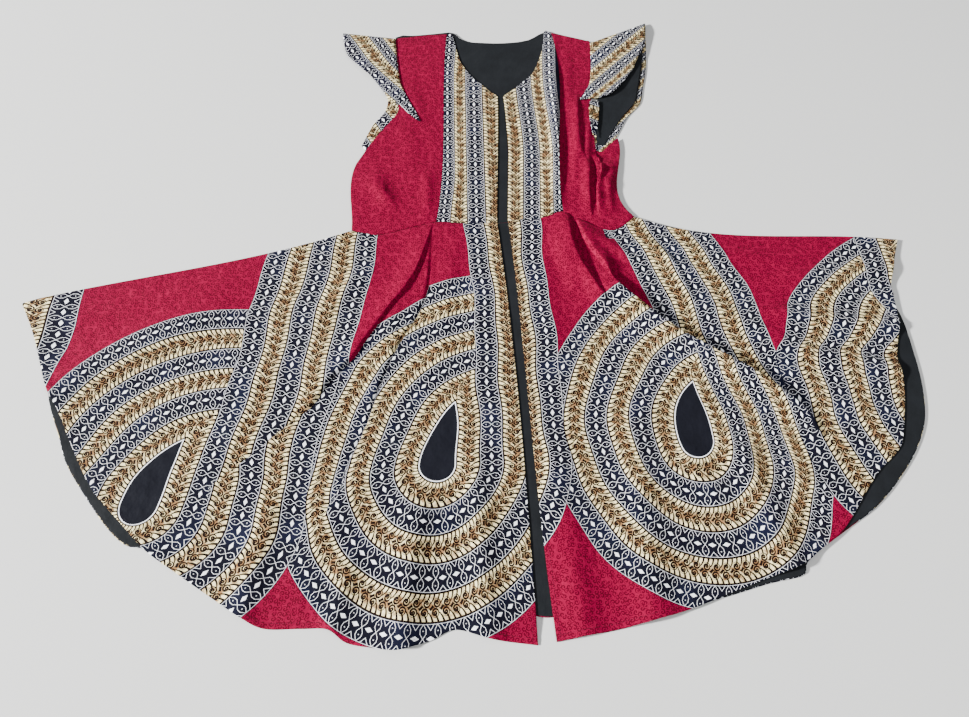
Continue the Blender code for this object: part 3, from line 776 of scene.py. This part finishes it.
# How the print is coloured: the scales of the blotches on the cream and of the fading of
# the navy, how far each runs, and the light ring round a drop's dark core in bands.
dye = {"blotch": 0.11, "blotchShare": 0.85, "heartShare": 0.17, "blotches": (0.36, 0.68), "ochre": 0.9,
       "fade": 0.016, "fades": (0.45, 0.75), "coreLine": (-0.055, -0.01)}
redStarts, inRed = 6.0, 9.0  # the band number past which the cloth is red, and one well past it


def bandPrint():
    # the whole print from the band number, the run along it and the place in the cloth
    tree, at = newGroup("bandPrint", {"Bands": 0.0, "Run": 0.0, "Cloth": origin}, {"Color": tint})
    bands, ink = at["Bands"], printColours
    across = bands.fract()
    odd = (bands * 0.5).fract() > 0.5
    navy = useGroup(tree, "navyBand", {"Run": at["Run"], "Across": across})["Mask"]
    cream = useGroup(tree, "creamBand", {"Run": at["Run"], "Across": across})
    red = useGroup(tree, "redGround", {"Cloth": at["Cloth"]})
    blotch = noise(tree, at["Cloth"], dye["blotch"])
    fade = noise(tree, at["Cloth"], dye["fade"], 1.0)
    stained = blotch * dye["blotchShare"] + cream["Heart"] * dye["heartShare"]
    stain = ramp(tree, stained, *dye["blotches"]) * dye["ochre"]
    creamGround = mixColour(tree, stain, ink["cream"], ink["ochre"])
    creamColour = mixColour(tree, cream["Mask"], creamGround, ink["brown"])
    navyGround = mixColour(tree, ramp(tree, fade, *dye["fades"]), ink["navy"], ink["blue"])
    navyColour = mixColour(tree, navy, navyGround, ink["white"])
    banded = mixColour(tree, odd, creamColour, navyColour)
    coreLine = (bands > dye["coreLine"][0]) * (bands < dye["coreLine"][1])
    core = mixColour(tree, coreLine, ink["core"], ink["white"])
    banded = mixColour(tree, bands < 0.0, banded, core)
    groundRed = mixColour(tree, red["Mask"] * redShapes["shade"], ink["red"], ink["deepRed"])
    finishGroup(tree, {"Color": mixColour(tree, bands > redStarts, banded, groundRed)})


for makeGroup in (dropRings, navyBand, creamBand, redGround, clothSurface, bandPrint):
    makeGroup()
print("print groups built")


# The drops of the print, in mm from the middle of the dress: where each one's round bottom
# is, how its wider side leans off it, and the straight side that runs up the cloth.
drops = {
    "leftFront": {"centre": (-42, -312), "radius": 26.0, "lean": -1.0, "sideRadius": 124,
                  "lineAngle": 1.9, "lineReach": 26.0, "widths": (33.0, 37.3, 32.1), "skew": 2.2},
    "opening": {"centre": (-10.4, -293), "radius": 26.0, "lean": -1.0, "sideRadius": 124,
                "lineAngle": 4.5, "lineReach": 26.0, "widths": (33.1, 41.0, 32.1)},
    "leftSide": {"centre": (-452, -371), "radius": 27.6, "lean": -10.0, "sideRadius": 127,
                 "lineAngle": -9.1, "lineReach": 27.6, "widths": (34.4, 27.9, 33.0)},
    "rightFront": {"centre": (332.5, -279), "radius": 24.6, "lean": 27.0, "sideRadius": 84,
                   "lineAngle": 11.1, "lineReach": 24.6, "widths": (24.5, 34.9, 31.6)},
    "rightSide": {"centre": (774, -196), "radius": 125.0, "lean": 0.0, "sideRadius": 125.1,
                  "lineAngle": 14.0, "lineReach": -130.0, "widths": (34.0, 27.0, 31.5)},
}


def dropValues(drop, cloth):
    # the group's inputs for one drop of the table
    lean, lineAngle = math.radians(drop["lean"]), math.radians(drop["lineAngle"])
    centreX, centreY = drop["centre"]
    apart = drop["sideRadius"] - drop["radius"]
    lineWidth, bottomWidth, sideWidth = drop["widths"]
    return {
        "Cloth": cloth,
        "Centre": (centreX, centreY, 0),
        "Radius": drop["radius"],
        "Side Centre": (centreX + apart * math.cos(lean), centreY + apart * math.sin(lean), 0),
        "Side Radius": drop["sideRadius"],
        "Side Turn": (lineAngle - lean - math.pi) % (2 * math.pi),
        "Line Angle": lineAngle,
        "Line Reach": drop["lineReach"],
        "Line Width": lineWidth,
        "Bottom Width": bottomWidth,
        "Side Width": sideWidth,
        "Skew": drop.get("skew", 0.0),
    }


def clothMaterial(name, sheen=0.015):
    # a cotton shader; returns the material, its tree, its shader and the place in mm
    material = bpy.data.materials.new(name)
    material.use_nodes = True
    tree = material.node_tree
    shader = tree.nodes["Principled BSDF"]
    finish = {"Sheen Weight": sheen, "Sheen Roughness": 0.45, "Specular IOR Level": 0.06}
    for title, value in finish.items():
        shader.inputs[title].default_value = value
    where = addNode(tree, "ShaderNodeTexCoord")
    scale = addNode(tree, "ShaderNodeVectorMath")
    scale.operation = "SCALE"
    scale.inputs["Scale"].default_value = 1 / mm
    tree.links.new(where.outputs["Object"], scale.inputs[0])
    return material, tree, shader, Wire(tree, scale.outputs[0])


def attribute(tree, name):
    node = addNode(tree, "ShaderNodeAttribute")
    node.attribute_name = name
    return Wire(tree, node.outputs["Vector"])


def finishCloth(tree, shader, cloth, colourWire, deep=0.9, smoother=0.0):
    surface = useGroup(tree, "clothSurface", {"Cloth": cloth})
    bumpy(tree, shader, surface["Height"], deep, mm)
    join(tree, surface["Roughness"] - smoother, shader.inputs["Roughness"])
    # the colour is darkened and lightened by the painted shade of the crease bumps
    shade = addNode(tree, "ShaderNodeHueSaturation", {"Color": colourWire, "Value": surface["Crease Shade"]})
    tree.links.new(shade.outputs["Color"], shader.inputs["Base Color"])


def finishPrint(made, bands, run, cloth):
    # the print's colours on a cloth material; returns the material
    material, tree, shader, here = made
    result = useGroup(tree, "bandPrint", {"Bands": bands, "Run": run, "Cloth": cloth})
    finishCloth(tree, shader, here, result["Color"])
    return material


# The straight bands right of the right tuck: how the band number grows with x and y in mm,
# from where their run is counted, the heights between which they take over from the drop,
# and the height up to which the cloth past the first one is red.
upperRight = {"x": 0.03057, "y": 0.01098, "start": -7.213, "run": 400.6, "over": (-262.0, -150.0),
              "red": (67.9, 68.1)}
# The bands that cross the far left tip: where the first one starts, how it leans below a
# height, and how wide they are.
leftTip = {"x": 606.0, "y": -130.0, "lean": 0.22, "width": 46.0}
# Where only one print shows beside a tuck, down to this height.
oneSided = {"left": -345.0, "right": -262.0}
# The dark core at the right is closed within these x and y.
closing = {"x": 430.0, "top": -136.0, "low": -325.0, "from": 5.95, "to": 5.99}
lastRing = 5.0  # the band number past which the next drop shows
openingRings = 4.0  # how many bands run along the opening


def skirtMaterial(name, near, far, side):
    # two drops of the print that meet at a tuck; side is left or right
    made = clothMaterial(name)
    tree = made[1]
    x, y, away = split(tree, attribute(tree, "cloth"))
    farLeft, farRight, nearMove = split(tree, attribute(tree, "moves"))
    right = away > 0.0
    nearCloth = combine(tree, x + (nearMove if side == "left" else nearMove * (1.0 - right)), y)
    farCloth = combine(tree, x + farLeft.pick(farRight, right), y)
    one = useGroup(tree, "dropRings", dropValues(drops[near], nearCloth))
    two = useGroup(tree, "dropRings", dropValues(drops[far], farCloth))
    nearBands, nearRun = one["Bands"], one["Run"]
    if side == "right":
        growX, growY = upperRight["x"], upperRight["y"]
        straight = (x + nearMove * right) * growX + y * growY + upperRight["start"]
        corner = straight.fract() + lastRing
        straight = straight.pick(ramp(tree, y, *upperRight["red"], inRed, corner), straight < 1.0)
        upper = ramp(tree, y, *upperRight["over"]) * right
        pitch = math.hypot(growX, growY)
        nearRun = nearRun.pick((y * growX - x * growY) / pitch + upperRight["run"], upper)
        nearBands = nearBands.pick(straight, upper)
    toFar = (nearBands > lastRing) * (two["Bands"] < redStarts)
    bands = nearBands.pick(two["Bands"], toFar)
    run = nearRun.pick(two["Run"], toFar)
    leftOnly = (1.0 - right) * (y > oneSided[side])
    if side == "left":  # left of the tuck only the far drop, and the next one's bands at the tip
        bands, run = bands.pick(two["Bands"], leftOnly), run.pick(two["Run"], leftOnly)
        tip = x + leftTip["x"] + (leftTip["y"] - y).most(0.0) * leftTip["lean"]
        tip = tip / leftTip["width"] + redStarts
        useTip = tip < redStarts
        bands, run = bands.pick(tip, useTip), run.pick(y, useTip)
    else:  # left of the tuck only the near drop, and the left front's straight side by the opening
        bands, run = bands.pick(nearBands, leftOnly), run.pick(nearRun, leftOnly)
        front = useGroup(tree, "dropRings", dropValues(drops["opening"], combine(tree, x, y)))
        useFront = (one["Bands"] > lastRing) * (front["Bands"] < openingRings)
        bands, run = bands.pick(front["Bands"], useFront), run.pick(front["Run"], useFront)
        inside = (x > closing["x"]) * (y < closing["top"]) * (y > closing["low"])
        bands = bands.pick(closing["to"], inside * (bands > closing["from"]))
    return finishPrint(made, bands, run, combine(tree, x, y))


# Straight bands: even numbers are cream, and the first starts at reach along the normal.
# Past the band "past" they are narrower, the given way, by the share left of the next band
# and of the others. "top" is the way up to the neck, how the print moves along it and the
# share of the others at its end; "waist" is the way up from the waist and the share of the
# next band below it; "end" is the band number where the print stops at the seam, and
# "under" is how many bands the layer folded under is moved by.
straightPrints = {
    "bodice print": {
        "angle": 1.4, "reach": -28.8, "width": 29.7, "past": 1.0, "way": -1, "next": 0.7, "others": 0.8,
        "top": (420.0, 520.0, 0.0, -5.0, 0.8), "waist": (95.0, 200.0, 0.98), "end": -0.985,
    },
    "bodice print right": {
        "angle": -1.4, "reach": 59.0, "width": 27.5, "past": 2.0, "way": 1, "next": 0.82, "others": 0.7,
        "top": (235.0, 435.0, -1.5, 14.5, 0.85), "end": 3.985,
    },
    "sleeve print left": {
        "angle": 31.7, "reach": 82.0, "width": 29.0, "past": 1.0, "way": 1, "next": 0.68, "others": 0.9,
        "top": (320.0, 470.0, -34.0, 0.0, 0.9),
    },
    "sleeve print right": {
        "angle": -43.9, "reach": -190.0, "width": 23.0, "past": 3.0, "way": 1, "next": 0.8, "others": 0.55,
        "under": 1.0,
    },
    "sleeve end print": {"angle": 70.0, "reach": 374.0, "width": 32.0},
}
underBelow = 2.5  # the layer folded under lies below this height


def straightMaterial(name):
    values = straightPrints[name]
    made = clothMaterial(name)
    tree, here = made[1], made[3]
    x, y, z = split(tree, here)
    across, along = math.cos(math.radians(values["angle"])), math.sin(math.radians(values["angle"]))
    moved = x
    if "top" in values:
        low, high, first, last, atNeck = values["top"]
        moved = x + ramp(tree, y, low, high, first, last)
    bands = (moved * across + y * along - values["reach"]) / values["width"]
    if "past" in values:
        way, following, others = values["way"], values["next"], values["others"]
        beyond = ((bands - values["past"]) * way).most(0.0)
        if "waist" in values:
            following = ramp(tree, y, *values["waist"], following)
        if "top" in values:
            others = ramp(tree, y, low, high, others, atNeck)
        first = beyond.least(following)
        bands = bands + (first / following + (beyond - first) / others - beyond) * way
    if "end" in values:
        bands = bands.least(values["end"]) if values["end"] > 0 else bands.most(values["end"])
    if "under" in values:
        bands = bands + (z < underBelow) * values["under"]
    wrapped = (bands * 0.5).fract() * 2.0
    return finishPrint(made, wrapped, y * across - x * along, here)


backMiddle = 52.0  # left and right drops meet here on the back


def backMaterial():
    # the drops again, as they would lie on the underside
    made = clothMaterial("back print")
    tree, here = made[1], made[3]
    x, y, _ = split(tree, here)
    onRight = x > backMiddle
    bands, run = inRed, y
    for drop in ("leftSide", "leftFront", "rightSide", "rightFront"):
        inside = onRight if drop.startswith("right") else 1.0 - onRight
        ring = useGroup(tree, "dropRings", dropValues(drops[drop], here))
        use = (ring["Bands"] < redStarts) * inside
        bands = ring["Bands"] * use + (1.0 - use) * bands
        run = run.pick(ring["Run"], use)
    return finishPrint(made, bands, run, here)


def redMaterial():
    material, tree, shader, here = clothMaterial("crimson print")
    red = useGroup(tree, "redGround", {"Cloth": here})
    result = mixColour(tree, red["Mask"] * redShapes["shade"], printColours["red"], printColours["deepRed"])
    finishCloth(tree, shader, here, result)
    return material


def liningMaterial():
    material, tree, shader, here = clothMaterial("black lining", 0.02)
    result = mixColour(tree, noise(tree, here, 0.02), *darkCloth)
    finishCloth(tree, shader, here, result, 0.6, 0.14)
    return material


# How far the print is moved along x, from the top down: y, then the far drop's move left
# and right of the tuck, and the near drop's move.
leftMoves = [
    (116, 4, 4, 12.8), (32, 1, 3, 4), (-29, -2, 2, 1.5), (-107, -3, 4, 0), (-179, -5, 8, -3),
    (-249, -6, 12, -4), (-300, -4, 12, -1.5), (-343, 2, 5, 0), (-420, 3, 3, 0), (-560, 3, 3, 0),
]
rightMoves = [
    (80, -24, -24, 9), (27, -14, -14, 4), (-10, -5, -5, 0), (-43, -2, -2, 0), (-82, -11, -11, 4),
    (-110, -12, -12, 9), (-135, -3, -3, 12), (-170, -9, -9, 11), (-200, -12, -12, 7),
    (-260, -8, -8, 1), (-335, -4, -4, -6), (-400, 0, 0, -3), (-560, 0, 0, 0),
]

# The values of each panel, in mm: its rows, how many more are made between them and how
# curved they run, how wide and long it is and how closely it is divided, how high it lies
# and how thick it is, how deep its waist seam sinks, and its finish.
front = {"low": frontLow, "wall": 1.1, "seamSink": 0.7, "slot": "print"}
back = {"low": 0.0, "wall": 1.2, "seamSink": 0, "slot": "print"}
backLining = {"low": liningLow - 0.1, "wall": 0.8, "seamSink": 0, "slot": "lining", "inset": 1.2}
skirtBack = {"rows": skirtBackRows, "perGap": 6, "tension": 0.8, "width": 1500, "length": 600,
             "skirt": True}
bodiceBack = {"rows": bodiceBackRows, "perGap": 5, "tension": 0.4, "width": 420, "length": 420,
              "spacing": 8, "skirt": False}
skirtFront = {**front, "perGap": 8, "tension": 1, "width": 950, "length": 600, "spacing": 5, "skirt": True}
sideFront = {**front, "perGap": 5, "tension": 0.4, "length": 400, "spacing": 5, "skirt": False,
             "slot": "red_print"}
centreFront = {**front, "perGap": 5, "tension": 0.5, "length": 400, "spacing": 5, "skirt": False}
panels = {
    "skirt_back": {**back, **skirtBack, "spacing": 14},
    "skirt_back_lining": {**backLining, **skirtBack, "spacing": 12},
    "bodice_back": {**back, **bodiceBack},
    "bodice_back_lining": {**backLining, **bodiceBack},
    "skirt_front_left": {
        **skirtFront, "rows": skirtFrontLeftRows, "tuck": "left skirt", "crease": "left skirt, inner",
        "moves": leftMoves, "fine": (0.33, 0.62, 2),
    },
    "skirt_front_right": {
        **skirtFront, "rows": skirtFrontRightRows, "tuck": "right skirt",
        "moves": rightMoves, "fine": (0.38, 0.66, 2),
    },
    "side_front_left": {
        **sideFront, "rows": sideFrontLeftRows, "width": 150, "seamShift": (-1, -seamHalfGap)},
    "centre_front_left": {
        **centreFront, "rows": centreFrontLeftRows, "width": 105, "seamShift": (0, seamHalfGap)},
    "centre_front_right": {
        **centreFront, "rows": centreFrontRightRows, "width": 95, "seamShift": (-1, -seamHalfGap)},
    "side_front_right": {
        **sideFront, "rows": sideFrontRightRows, "width": 120, "spacing": 2.5,
        "seamShift": (0, seamHalfGap)},
}


def shortened(rows, amount):
    made = []
    for x0, y0, x1, y1, *rest in rows:
        share = 1 - amount / math.hypot(x1 - x0, y1 - y0)
        made.append((x0, y0, x0 + (x1 - x0) * share, y0 + (y1 - y0) * share, *rest))
    return made


lining = liningMaterial()
crimson = redMaterial()
bodicePrint = straightMaterial("bodice print")
bodicePrintRight = straightMaterial("bodice print right")
backPrint = backMaterial()
materials = {
    "skirt_back": backPrint,
    "skirt_back_lining": lining,
    "bodice_back": backPrint,
    "bodice_back_lining": lining,
    "skirt_front_left": skirtMaterial("skirt print left", "leftFront", "leftSide", "left"),
    "skirt_front_right": skirtMaterial("skirt print right", "rightFront", "rightSide", "right"),
    "side_front_left": crimson,
    "centre_front_left": bodicePrint,
    "centre_front_right": bodicePrintRight,
    "side_front_right": crimson,
}

pieces = {}
for name, piece in panels.items():
    if "inset" in piece:
        piece["rows"] = shortened(piece["rows"], piece["inset"])
    obj = layPanel(name, piece)
    if "moves" in piece:
        clothPlaces(obj, piece)
    obj.data.materials.append(materials[name])
    pieces[name] = obj
print("panels laid:", len(pieces))


sleeves = {
    "sleeve_left": {"rows": sleeveLeftRows, "foldRow": 8, "wall": 1.1, "slot": "print",
                    "material": straightMaterial("sleeve print left")},
    "sleeve_right": {"rows": sleeveRightRows, "foldRow": 7, "wall": 1.1, "slot": "print",
                     "material": straightMaterial("sleeve print right")},
    "sleeve_right_lining": {"rows": sleeveLiningRows, "wall": 0.7, "slot": "lining", "material": lining},
    "sleeve_right_end": {"rows": sleeveEndRows, "wall": 1.1, "slot": "print",
                         "material": straightMaterial("sleeve end print")},
}
# The gathers of the upper layer: their height and pitch in mm, how fast they fade from the
# armhole, and the height past which the layer is the upper one; then how many rows are made
# between those of the table, how curved they run, and how many points lie along each.
gathers = {"height": 1.1, "pitch": 11.0, "fade": 2, "upper": 4.5, "upperRun": 0.8, "perGap": 6,
           "tension": 0.7, "points": 22}


def gatheredSleeve(name, sleeve):
    # rows from the armhole outwards, folded over at the sleeve's top edge, as one thin shell
    rows = [list(row) for row in sleeve["rows"]]
    foldRow = sleeve.get("foldRow")
    if foldRow:
        last, following = rows[foldRow], rows[foldRow + 1]
        lift = [(last[i] - following[i]) / 2 for i in (4, 5)]
        bend = [last[0], last[1] + lift[0], last[2], last[3] + lift[1]]
        bend += [(last[i] + following[i]) / 2 for i in (4, 5)]
        rows.insert(foldRow + 1, bend)
    dense = refined(rows, gathers["perGap"], gathers["tension"])
    shares = np.linspace(0, 1, gathers["points"])[None, :]
    x, y, z = (
        dense[:, [i]] + (dense[:, [j]] - dense[:, [i]]) * share
        for i, j, share in ((0, 2, shares), (1, 3, shares), (4, 5, smooth(shares)))
    )
    upperLayer = np.clip((z - gathers["upper"]) / gathers["upperRun"], 0, 1)
    waves = 1 + np.sin(y / gathers["pitch"] * 2 * math.pi)
    waves = np.exp(-shares * gathers["fade"]) * shares**0.5 * waves
    middle = np.stack([x, y, z + gathers["height"] * upperLayer * waves], -1)
    across, along = np.gradient(middle, axis=0), np.gradient(middle, axis=1)
    normal = np.cross(across, along)
    size = np.linalg.norm(normal, axis=2, keepdims=True)
    half = normal / (size + 1e-9) * sleeve["wall"] / 2
    low, high = middle - half, middle + half
    for layer in (low, high):
        layer[..., 2] = np.maximum(layer[..., 2], 0)
    obj = shell(name + "_cloth", low, high)
    upper = np.where(low[..., 2:] > high[..., 2:], low, high)
    sleeve["top"] = upper[: foldRow * gathers["perGap"]] if foldRow else upper
    sleeve["area"] = float(size[:-1, :-1].sum()) * mm * mm
    sleeve["size"] = tuple(float(v) * mm for v in np.ptp(middle[..., :2].reshape(-1, 2), axis=0))
    obj.data.materials.append(sleeve["material"])
    return obj


for name, sleeve in sleeves.items():
    pieces[name] = gatheredSleeve(name, sleeve)
print("sleeves made")


# Every run of stitches is one stitch, modelled once and copied along a path.
stitching = {"length": 2.6, "thickness": 0.5, "gap": 1.1, "fromEdge": 6.5, "fromHem": 8.0, "sunk": 0.1}


def makeStitch():
    # a short length of thread with rounded ends, lying along x
    bpy.ops.object.select_all(action="DESELECT")
    bpy.ops.mesh.primitive_cylinder_add(
        vertices=6, radius=stitching["thickness"] * mm / 2, depth=stitching["length"] * mm * 0.8,
        rotation=(0, math.pi / 2, 0),
    )
    stitch = bpy.context.active_object
    bpy.ops.object.transform_apply(location=True, rotation=True, scale=True)
    reach = stitching["length"] * mm * 0.1
    bpy.ops.object.mode_set(mode="EDIT")
    for way in (-1, 1):
        bpy.ops.mesh.select_all(action="DESELECT")
        bpy.ops.object.mode_set(mode="OBJECT")
        for face in stitch.data.polygons:
            face.select = face.normal.x * way > 0.9
        bpy.ops.object.mode_set(mode="EDIT")
        bpy.ops.mesh.select_mode(type="FACE")
        bpy.ops.mesh.extrude_region_move(TRANSFORM_OT_translate={"value": (reach * way, 0, -reach * 0.7)})
        bpy.ops.transform.resize(value=(1, 0.5, 0.5))
    bpy.ops.object.mode_set(mode="OBJECT")
    bpy.ops.object.shade_smooth()
    return stitch


def distanceAlong(line):
    return np.concatenate([[0], np.cumsum(np.linalg.norm(np.diff(line, axis=0), axis=1))])


def pointAt(line, distance, where):
    return [np.interp(where, distance, column) for column in line.T]


def insetPath(lines, inset):
    # one point on each line, a set distance in from where it starts
    return np.array([pointAt(line, distanceAlong(line), inset) for line in lines])


def sewRun(name, stitch, paths):
    # copies of the stitch, end to end along each path
    copies = []
    pitch = stitching["length"] + stitching["gap"]
    for path in paths:
        distance = distanceAlong(path)
        for start in np.arange(pitch, distance[-1] - pitch, pitch):
            ends = (pointAt(path, distance, start + more) for more in (0, stitching["length"]))
            first, second = (
                Vector(((x - middleX) * mm, y * mm, (z - stitching["sunk"]) * mm)) for x, y, z in ends)
            turn = (second - first).to_track_quat("X", "Z").to_matrix().to_4x4()
            copy = stitch.copy()
            copy.data = stitch.data.copy()
            copy.data.transform(Matrix.Translation((first + second) / 2) @ turn)
            bpy.context.scene.collection.objects.link(copy)
            copies.append(copy)
    bpy.ops.object.select_all(action="DESELECT")
    for copy in copies:
        copy.select_set(True)
    bpy.context.view_layer.objects.active = copies[0]
    bpy.ops.object.join()
    run = bpy.context.active_object
    run.name = run.data.name = name
    run.data.materials.append(threadMaterial)
    return run


def makeThread():
    material, tree, shader, here = clothMaterial("dark thread", 0.01)
    x, y, z = split(tree, here)
    twist = ((x + y + z * 1.5) * 9.0).calc("SINE")
    worn = noise(tree, here, 0.4)
    bumpy(tree, shader, twist, 0.6, 0.1 * mm)
    shade = mixColour(tree, ramp(tree, worn, 0.3, 0.7), colour(16, 15, 22), colour(40, 36, 44))
    join(tree, shade, shader.inputs["Base Color"])
    join(tree, ramp(tree, worn, 0.3, 0.7, 0.55, 0.75), shader.inputs["Roughness"])
    return material


threadMaterial = makeThread()
stitch = makeStitch()
tops = {name: piece["top"] for name, piece in panels.items()}
hems = [tops[name] for name in ("skirt_front_left", "skirt_front_right")]
leftFronts = [tops[name][::-1].transpose(1, 0, 2) for name in ("skirt_front_left", "centre_front_left")]
rightFronts = [tops[name].transpose(1, 0, 2) for name in ("skirt_front_right", "centre_front_right")]
necks = [tops[name] for name in ("centre_front_left", "centre_front_right")]
sleeveTops = [sleeves[name]["top"] for name in ("sleeve_left", "sleeve_right")]
inset, hemInset = stitching["fromEdge"], stitching["fromHem"]
runs = {
    "hem_stitching": [insetPath(grid[:, ::-1], hemInset) for grid in hems],
    "front_stitching": [insetPath(grid, inset) for grid in leftFronts + rightFronts],
    "neck_stitching": [insetPath(grid[:, ::-1], inset) for grid in necks],
    "sleeve_stitching": [insetPath(grid[:, ::-1], inset * 0.6) for grid in sleeveTops],
}
for name, paths in runs.items():
    run = sewRun(name, stitch, paths)
    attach(run, "root")
    print(name, len(run.data.polygons), "faces")
bpy.data.objects.remove(stitch, do_unlink=True)


bpy.ops.object.select_all(action="DESELECT")
bpy.ops.mesh.primitive_plane_add(size=9.0, location=(0, 0, -0.0004))
floor = bpy.context.active_object
floor.name = "floor"
floorMaterial = bpy.data.materials.new("pale floor")
floorMaterial.use_nodes = True
floorShader = floorMaterial.node_tree.nodes["Principled BSDF"]
floorShader.inputs["Base Color"].default_value = (0.6, 0.6, 0.585, 1)
floorShader.inputs["Roughness"].default_value = 0.85
floor.data.materials.append(floorMaterial)

for name, obj in pieces.items():
    facts = panels.get(name) or sleeves[name]
    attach(obj, "root")
    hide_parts(name)
    width, length = facts["size"]
    "folded" if name in ("sleeve_left", "sleeve_right") else "laid"
    print(name, "cut %.3f x %.3f m, %.4f m2" % (width, length, facts["area"]))


view = {"lens": 27.864, "sensor": 36.0, "at": (0.026, -0.625, 1.03), "tilt": 25}
cameraData = bpy.data.cameras.new("camera")
cameraData.lens = view["lens"]
cameraData.sensor_width = view["sensor"]
camera = bpy.data.objects.new("camera", cameraData)
camera.location = view["at"]
camera.rotation_euler = (math.radians(view["tilt"]), 0, 0)
bpy.context.scene.collection.objects.link(camera)
bpy.context.scene.camera = camera

lamps = {
    "key": {"at": (-6.4, -1.1, 2.9), "aim": (0.1, 0, 0), "size": 0.6, "power": 2550},
    "fill": {"at": (0.9, -0.75, 1.7), "aim": (0.35, 0, 0), "size": 0.8, "power": 18},
    "top": {"at": (0.6, 0.9, 2.2), "aim": (0.2, 0, 0), "size": 1.6, "power": 12},
}
for name, lamp in lamps.items():
    data = bpy.data.lights.new(name, "AREA")
    data.shape = "SQUARE"
    data.size = lamp["size"]
    data.energy = lamp["power"]
    light = bpy.data.objects.new(name, data)
    light.location = lamp["at"]
    aim = Vector(lamp["aim"]) - Vector(lamp["at"])
    light.rotation_euler = aim.to_track_quat("-Z", "Y").to_euler()
    bpy.context.scene.collection.objects.link(light)
world = bpy.data.worlds.new("studio")
world.use_nodes = True
background = world.node_tree.nodes["Background"]
background.inputs["Color"].default_value = (0.9, 0.93, 1.0, 1)
background.inputs["Strength"].default_value = 0.3
bpy.context.scene.world = world
